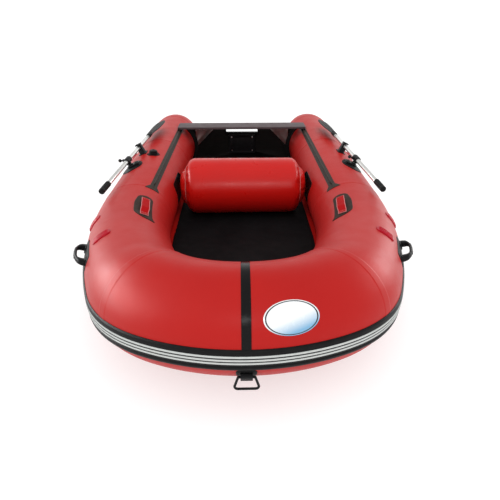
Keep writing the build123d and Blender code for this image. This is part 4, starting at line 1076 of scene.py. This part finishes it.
def carry_straps():
    """Webbing loops whose edges and ends are painted pale pink as a highlight, sewn down with cross
    stitching.
    """
    shape, half_width, thick = Shape(), 0.0225, 0.0028
    rows = []
    for x in spread(-0.128, 0.128, 0.004):
        base = strap_lift(x)
        bow_in = 1 - 0.05 * smooth_step((0.09 - abs(x)) / 0.05)
        row = []
        top = ((-1, 1), (-0.86, 1.06), (-0.5, 1.15), (0, 1.2), (0.5, 1.15), (0.86, 1.06), (1, 1))
        for share, lift in ((-1, 0), *top, (1, 0), (0, 0), (-1, 0)):
            y = share * half_width * bow_in
            row.append((CARRY_PLACE(x, y, base + lift * thick), (x, y + lift * thick)))
        rows.append(row)
    # Slot 1, on the strap's side faces and ends, carries the painted highlight.
    for columns, slot in (((2, 7), 0), ((8, 11), 0), ((0, 3), 1), ((6, 9), 1)):
        shape.grid([row[columns[0]:columns[1]] for row in rows], slot)
    for row in (rows[0], rows[-1]):
        shape.fan([p for p, _ in row[:-1]], slot=1)
    surfaces = strap_red, strap_edge_highlight
    return shape.mirrored().piece("carry_straps", surfaces, "red_pvc", "carry_handle_straps", crease=50)


def stitch(shape, start, end, place, top):
    """One visible stitch: a short spindle of thread lying on the cloth."""
    middle = (start + end) / 2
    run = (end - start).normalized()
    aside = Vector((-run.y, run.x))
    length = (end - start).length / 2
    rows = []
    for t in (-1.0, -0.6, 0, 0.6, 1.0):
        size = 0.00055 * sqrt(max(0.02, 1 - t * t))
        row = []
        for k in range(7):
            turn = 2 * pi * k / 6
            flat = middle + run * (t * length) + aside * (size * cos(turn))
            row.append((place(flat.x, flat.y, top(flat.x) + size * sin(turn)), (flat.x, flat.y)))
        rows.append(row)
    shape.grid(rows)


def strap_stitching():
    shape = Shape()

    def top(x):
        return strap_lift(x) + 0.0034

    for side in (-1, 1):
        near, far, wide = side * 0.099, side * 0.124, 0.017
        corners = [Vector(c) for c in ((near, -wide), (far, -wide), (far, wide), (near, wide))]
        lines = [(corners[i], corners[(i + 1) % 4]) for i in range(4)]
        lines += [(corners[0], corners[2]), (corners[1], corners[3])]
        for a, b in lines:
            count = int((b - a).length / 0.0042)
            for i in range(count):
                start, end = a.lerp(b, (i + 0.12) / count), a.lerp(b, (i + 0.82) / count)
                stitch(shape, start, end, CARRY_PLACE, top)
    return shape.mirrored().piece("strap_stitches", thread_pale, "red_pvc")


RIDGE_HEIGHT, RIDGE_PITCH, RIDGE_HALF_LENGTH = 0.0046, 0.018, 0.046


def lifeline_tabs():
    """Moulded tabs with three lengthwise ribs, under which a lifeline is threaded."""
    shape = Shape()
    outline = box_outline(0.058, 0.106, 0.024)

    def ridges(x, y):
        ends = smooth_step((RIDGE_HALF_LENGTH - abs(y)) / 0.012)
        return RIDGE_HEIGHT * cos(pi * x / RIDGE_PITCH) ** 2 * ends

    places = [skin_place(distance_at(turn), angle) for turn, angle in LIFELINE_PLACES]
    places += [skin_place(side_distance(y), LIFELINE_SIDE_ANGLE) for y in LIFELINE_SIDE_YS]
    for place in places:
        sheet(shape, outline, place, 0.0055, 0.003, 0.003, relief=ridges)
    return shape.mirrored().piece("lifeline_tabs", red_tab, "red_moulded", "lifeline_fittings")


def badge():
    across, up = BADGE_HALF
    turns = [radians(5 * k) for k in range(72)]
    outline = [Vector((across * cos(turn), up * sin(turn))) for turn in turns]
    place = skin_place(distance_at(BADGE_TURN), BADGE_ANGLE)
    shape = sheet(Shape(), outline, place, 0.0016, 0.0016, 0.01)
    return shape.piece("badge_plate", badge_print, "badge_white", "badge")


# ---- oar blades ----
def oar_place():
    """The port oar's own axes: along the shaft towards the blade, across it, off the tube."""
    origin = skin_point(side_distance(ROWLOCK_Y), ROWLOCK_ANGLE, OAR_LIFT)
    turned = radians(ROWLOCK_ANGLE)
    off = Vector((cos(turned), 0, sin(turned)))
    aft = Vector((0, 1, 0))
    inboard = off.cross(aft)
    along = aft * cos(OAR_TILT) + inboard * sin(OAR_TILT)
    return origin, along, off.cross(along), off


BLADE_ROOT_HALF, BLADE_WIDEST, EDGE_ROUND, SOCKET_R = 0.026, 0.72, 0.006, 0.018
RIB_HEIGHT, SIDE_RIB_HEIGHT, SIDE_RIB_SHIFT, BLADE_CUP = 0.0042, 0.0038, 0.030, 0.006


def blade_half_width(t):
    """Half width of the blade from its root, where t is 0, to its tip, where t is 1."""
    if t < BLADE_WIDEST:
        growth = sin(pi / 2 * t / BLADE_WIDEST) ** 0.85
        return BLADE_ROOT_HALF + (BLADE_HALF_WIDTH - BLADE_ROOT_HALF) * growth
    drop = (t - BLADE_WIDEST) / (1 - BLADE_WIDEST)
    return BLADE_HALF_WIDTH * (1 - 0.38 * drop**2.4)


def blade_lift(y, t, half):
    """Height of a face over the blade's middle surface: its body, three ribs and the socket."""
    edge = min(1.0, (half - abs(y)) / EDGE_ROUND, (1 - t) * BLADE_LENGTH / EDGE_ROUND + 0.001)
    body = BLADE_THICK / 2 * (0.35 + 0.65 * sqrt(max(0.0, 1 - (1 - edge) ** 2)))
    body *= 0 if edge < 0.01 else 1
    reach = smooth_step((t - 0.16) / 0.04)
    ribs = RIB_HEIGHT * exp(-((y / 0.0042) ** 2)) * reach * smooth_step((0.97 - t) / 0.08)
    for shift in (-SIDE_RIB_SHIFT, SIDE_RIB_SHIFT):
        gap = y - shift * min(1.0, half / 0.05)
        ribs += SIDE_RIB_HEIGHT * exp(-((gap / 0.004) ** 2)) * reach * smooth_step((0.84 - t) / 0.08)
    socket = SOCKET_R * smooth_step((0.20 - t) / 0.06)
    tube = sqrt(max(0.0, socket**2 - y * y)) if abs(y) < socket else 0.0
    return max(body + ribs * min(1, edge), tube)


def oar_blade(side, name):
    origin, along, across, off = oar_place()
    shape = Shape()
    steps = [k / 60 for k in range(61)]
    shares = [sin(pi / 2 * k / 16) for k in range(-16, 17)]
    for face in (1, -1):
        rows = []
        for t in steps:
            half = blade_half_width(t)
            x = OAR_AFT + BLADE_LENGTH * t
            row = []
            for share in shares:
                y = share * half
                lift = blade_lift(y, t, half) * face
                cup = -BLADE_CUP * (y / BLADE_HALF_WIDTH) ** 2 * smooth_step(t / 0.4)
                row.append((origin + along * x + across * y + off * (lift + cup), (x, y)))
            rows.append(row)
        shape.grid(rows)
    collar = [origin + along * (OAR_AFT + x) for x in (-0.020, -0.017, 0.0, 0.03, 0.06)]
    tube_along(shape, collar, across, [(0.0165, 0.0165)] + [(SOCKET_R, SOCKET_R)] * 4, 24)
    if side < 0:
        shape.points = [Vector((-p[0], p[1], p[2])) for p in shape.points]
    body = "port_oar" if side > 0 else "starboard_oar"
    return shape.piece(name, blade_plastic, "black_plastic", body + "_blade", body=body)


# ---- CAD nodes that are shown ----
CAD_SURFACES = (
    (black_rubber, "stern_end_caps chafe_strips transom_holders drain_plug"),
    (red_pvc, "keel_tube"),
    (board_black, "transom_board"),
    (board_grey, "seat_board"),
    (bracket_metal, "transom_knees"),
    (ring_plastic, "rowlock_rings"),
    (bolt_steel, "transom_bolts stern_tow_eyes rowlock_pins"),
    (black_plastic, "transom_trim motor_pads drain_socket seat_slides rowlock_bases oar_clips"),
    (black_plastic, "accessory_base accessory_lock_ring bow_ring_bracket bow_towing_ring"),
    (black_plastic, "valve_bodies thwart_valve_body port_valve_cap starboard_valve_cap"),
    (black_plastic, "bow_valve_cap floor_valve_cap thwart_valve_cap"),
    (oar_metal, "port_oar_shaft starboard_oar_shaft"),
    (black_rubber, "port_oar_grip starboard_oar_grip"),
    (black_plastic, "port_oar_collar port_oar_knob starboard_oar_collar starboard_oar_knob"),
)


def dress_cad_nodes():
    """Gives each CAD node that stays its material, and softens its machined edges a little."""
    for surface, name in ((surface, name) for surface, names in CAD_SURFACES for name in names.split()):
        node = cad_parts[name]
        node.data.materials.clear()
        node.data.materials.append(surface)
        node.data.polygons.foreach_set("material_index", [0] * len(node.data.polygons))
        node.data.polygons.foreach_set("use_smooth", [True] * len(node.data.polygons))
        weld = node.modifiers.new("weld", "WELD")
        weld.merge_threshold = 1e-5
        bevel = node.modifiers.new("soft_edges", "BEVEL")
        bevel.width = 0.0006
        bevel.segments = 2
        bevel.limit_method = "ANGLE"
        bevel.angle_limit = radians(38)
        bevel.harden_normals = True


# ---- stage, light and camera ----
def stage():
    """A white floor, lit a little from below, that curves up far away."""
    shape, rows = Shape(), []
    for distance, height in ((0.01, 0), (8, 0), (40, 0), (50, 0.4), (56, 1.6), (60, 5.0), (62, 30)):
        turns = [2 * pi * k / 48 for k in range(49)]
        ring = [Vector((distance * cos(t), distance * sin(t), height)) for t in turns]
        rows.append([(point, (t, distance)) for t, point in zip(turns, ring)])
    glow = {"Emission_Strength": 0.58, "Emission_Color": (1, 1, 1, 1)}
    pale = Surface("studio_floor", (0.50, 0.50, 0.50), 0.85, Specular_IOR_Level=0.0, **glow)
    pale.tint(pale.span(pale.noise(0.6, 2.0), 0.0, 0.6), (0.52, 0.52, 0.52))
    mesh = bpy.data.meshes.new("studio_floor")
    shape.grid(rows)
    mesh.from_pydata([tuple(p) for p in shape.points], [], shape.faces)
    mesh.materials.append(pale.material)
    placed("studio_floor", mesh)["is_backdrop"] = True


def softbox(name, place, target, size, watts):
    """Rectangular light that is seen in glossy surfaces only, as a window is."""
    light = bpy.data.lights.new(name, "AREA")
    light.shape = "RECTANGLE"
    light.size, light.size_y = size
    light.energy = watts
    box = placed(name, light)
    box.location = place
    box.rotation_euler = (Vector(target) - Vector(place)).to_track_quat("-Z", "Y").to_euler()
    box.visible_camera = False
    box.visible_diffuse = False


def lighting():
    """Even white light, and the windows that the photo's highlights show."""
    world = bpy.data.worlds.new("studio")
    world.use_nodes = True
    background = world.node_tree.nodes["Background"]
    background.inputs["Color"].default_value = (1, 1, 1, 1)
    background.inputs["Strength"].default_value = 0.75
    bpy.context.scene.world = world
    sky = bpy.data.lights.new("soft_sky", "SUN")
    sky.energy, sky.angle = 1.6, radians(110)
    sky_object = placed("soft_sky", sky)
    sky_object.rotation_euler = (radians(35), 0, 0)
    sky_object.visible_glossy = False
    softbox("port_window", (4.2, 1.1, 1.15), (0.5, -0.4, 0.4), (2.6, 1.6), 85)
    softbox("starboard_window", (-5.4, -0.5, 1.9), (-0.5, -0.8, 0.4), (6.0, 2.8), 640)
    softbox("front_card", (0.15, -6.25, 3.6), (0, -1.75, 0.45), (0.9, 0.4), 40)


CAMERA_PLACE, CAMERA_TILT, CAMERA_TURN = (-0.012, -2.844, 1.4245), radians(30.65), -0.0225
CAMERA_LENS, SENSOR_WIDTH = 29.81, 36.0


def camera():
    """The camera that was fitted to the photo."""
    data = bpy.data.cameras.new("camera")
    data.lens, data.sensor_width = CAMERA_LENS, SENSOR_WIDTH
    view = placed("camera", data)
    view.location = CAMERA_PLACE
    view.rotation_euler = (pi / 2 - CAMERA_TILT, 0, CAMERA_TURN)
    bpy.context.scene.camera = view


# ---- the scene ----
bpy.context.scene.view_settings.view_transform = "Standard"
camera()
lighting()
stage()
for make in (
    hull_tube, rub_strake, strake_stripes, bow_tape, seat_rails, air_floor, floor_mat, bottom_skin,
    thwart, mount_patches, rowlock_patches, accessory_patch, bow_ring_patch, handle_patches,
    side_handles, carry_patches, carry_straps, strap_stitching, lifeline_tabs, badge,
):
    make()
oar_blade(1, "port_blade")
oar_blade(-1, "starboard_blade")
dress_cad_nodes()

boxes = {"cad": CAD_BOX, "visual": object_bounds()}
{name: [list(corner) for corner in box] for name, box in boxes.items()}
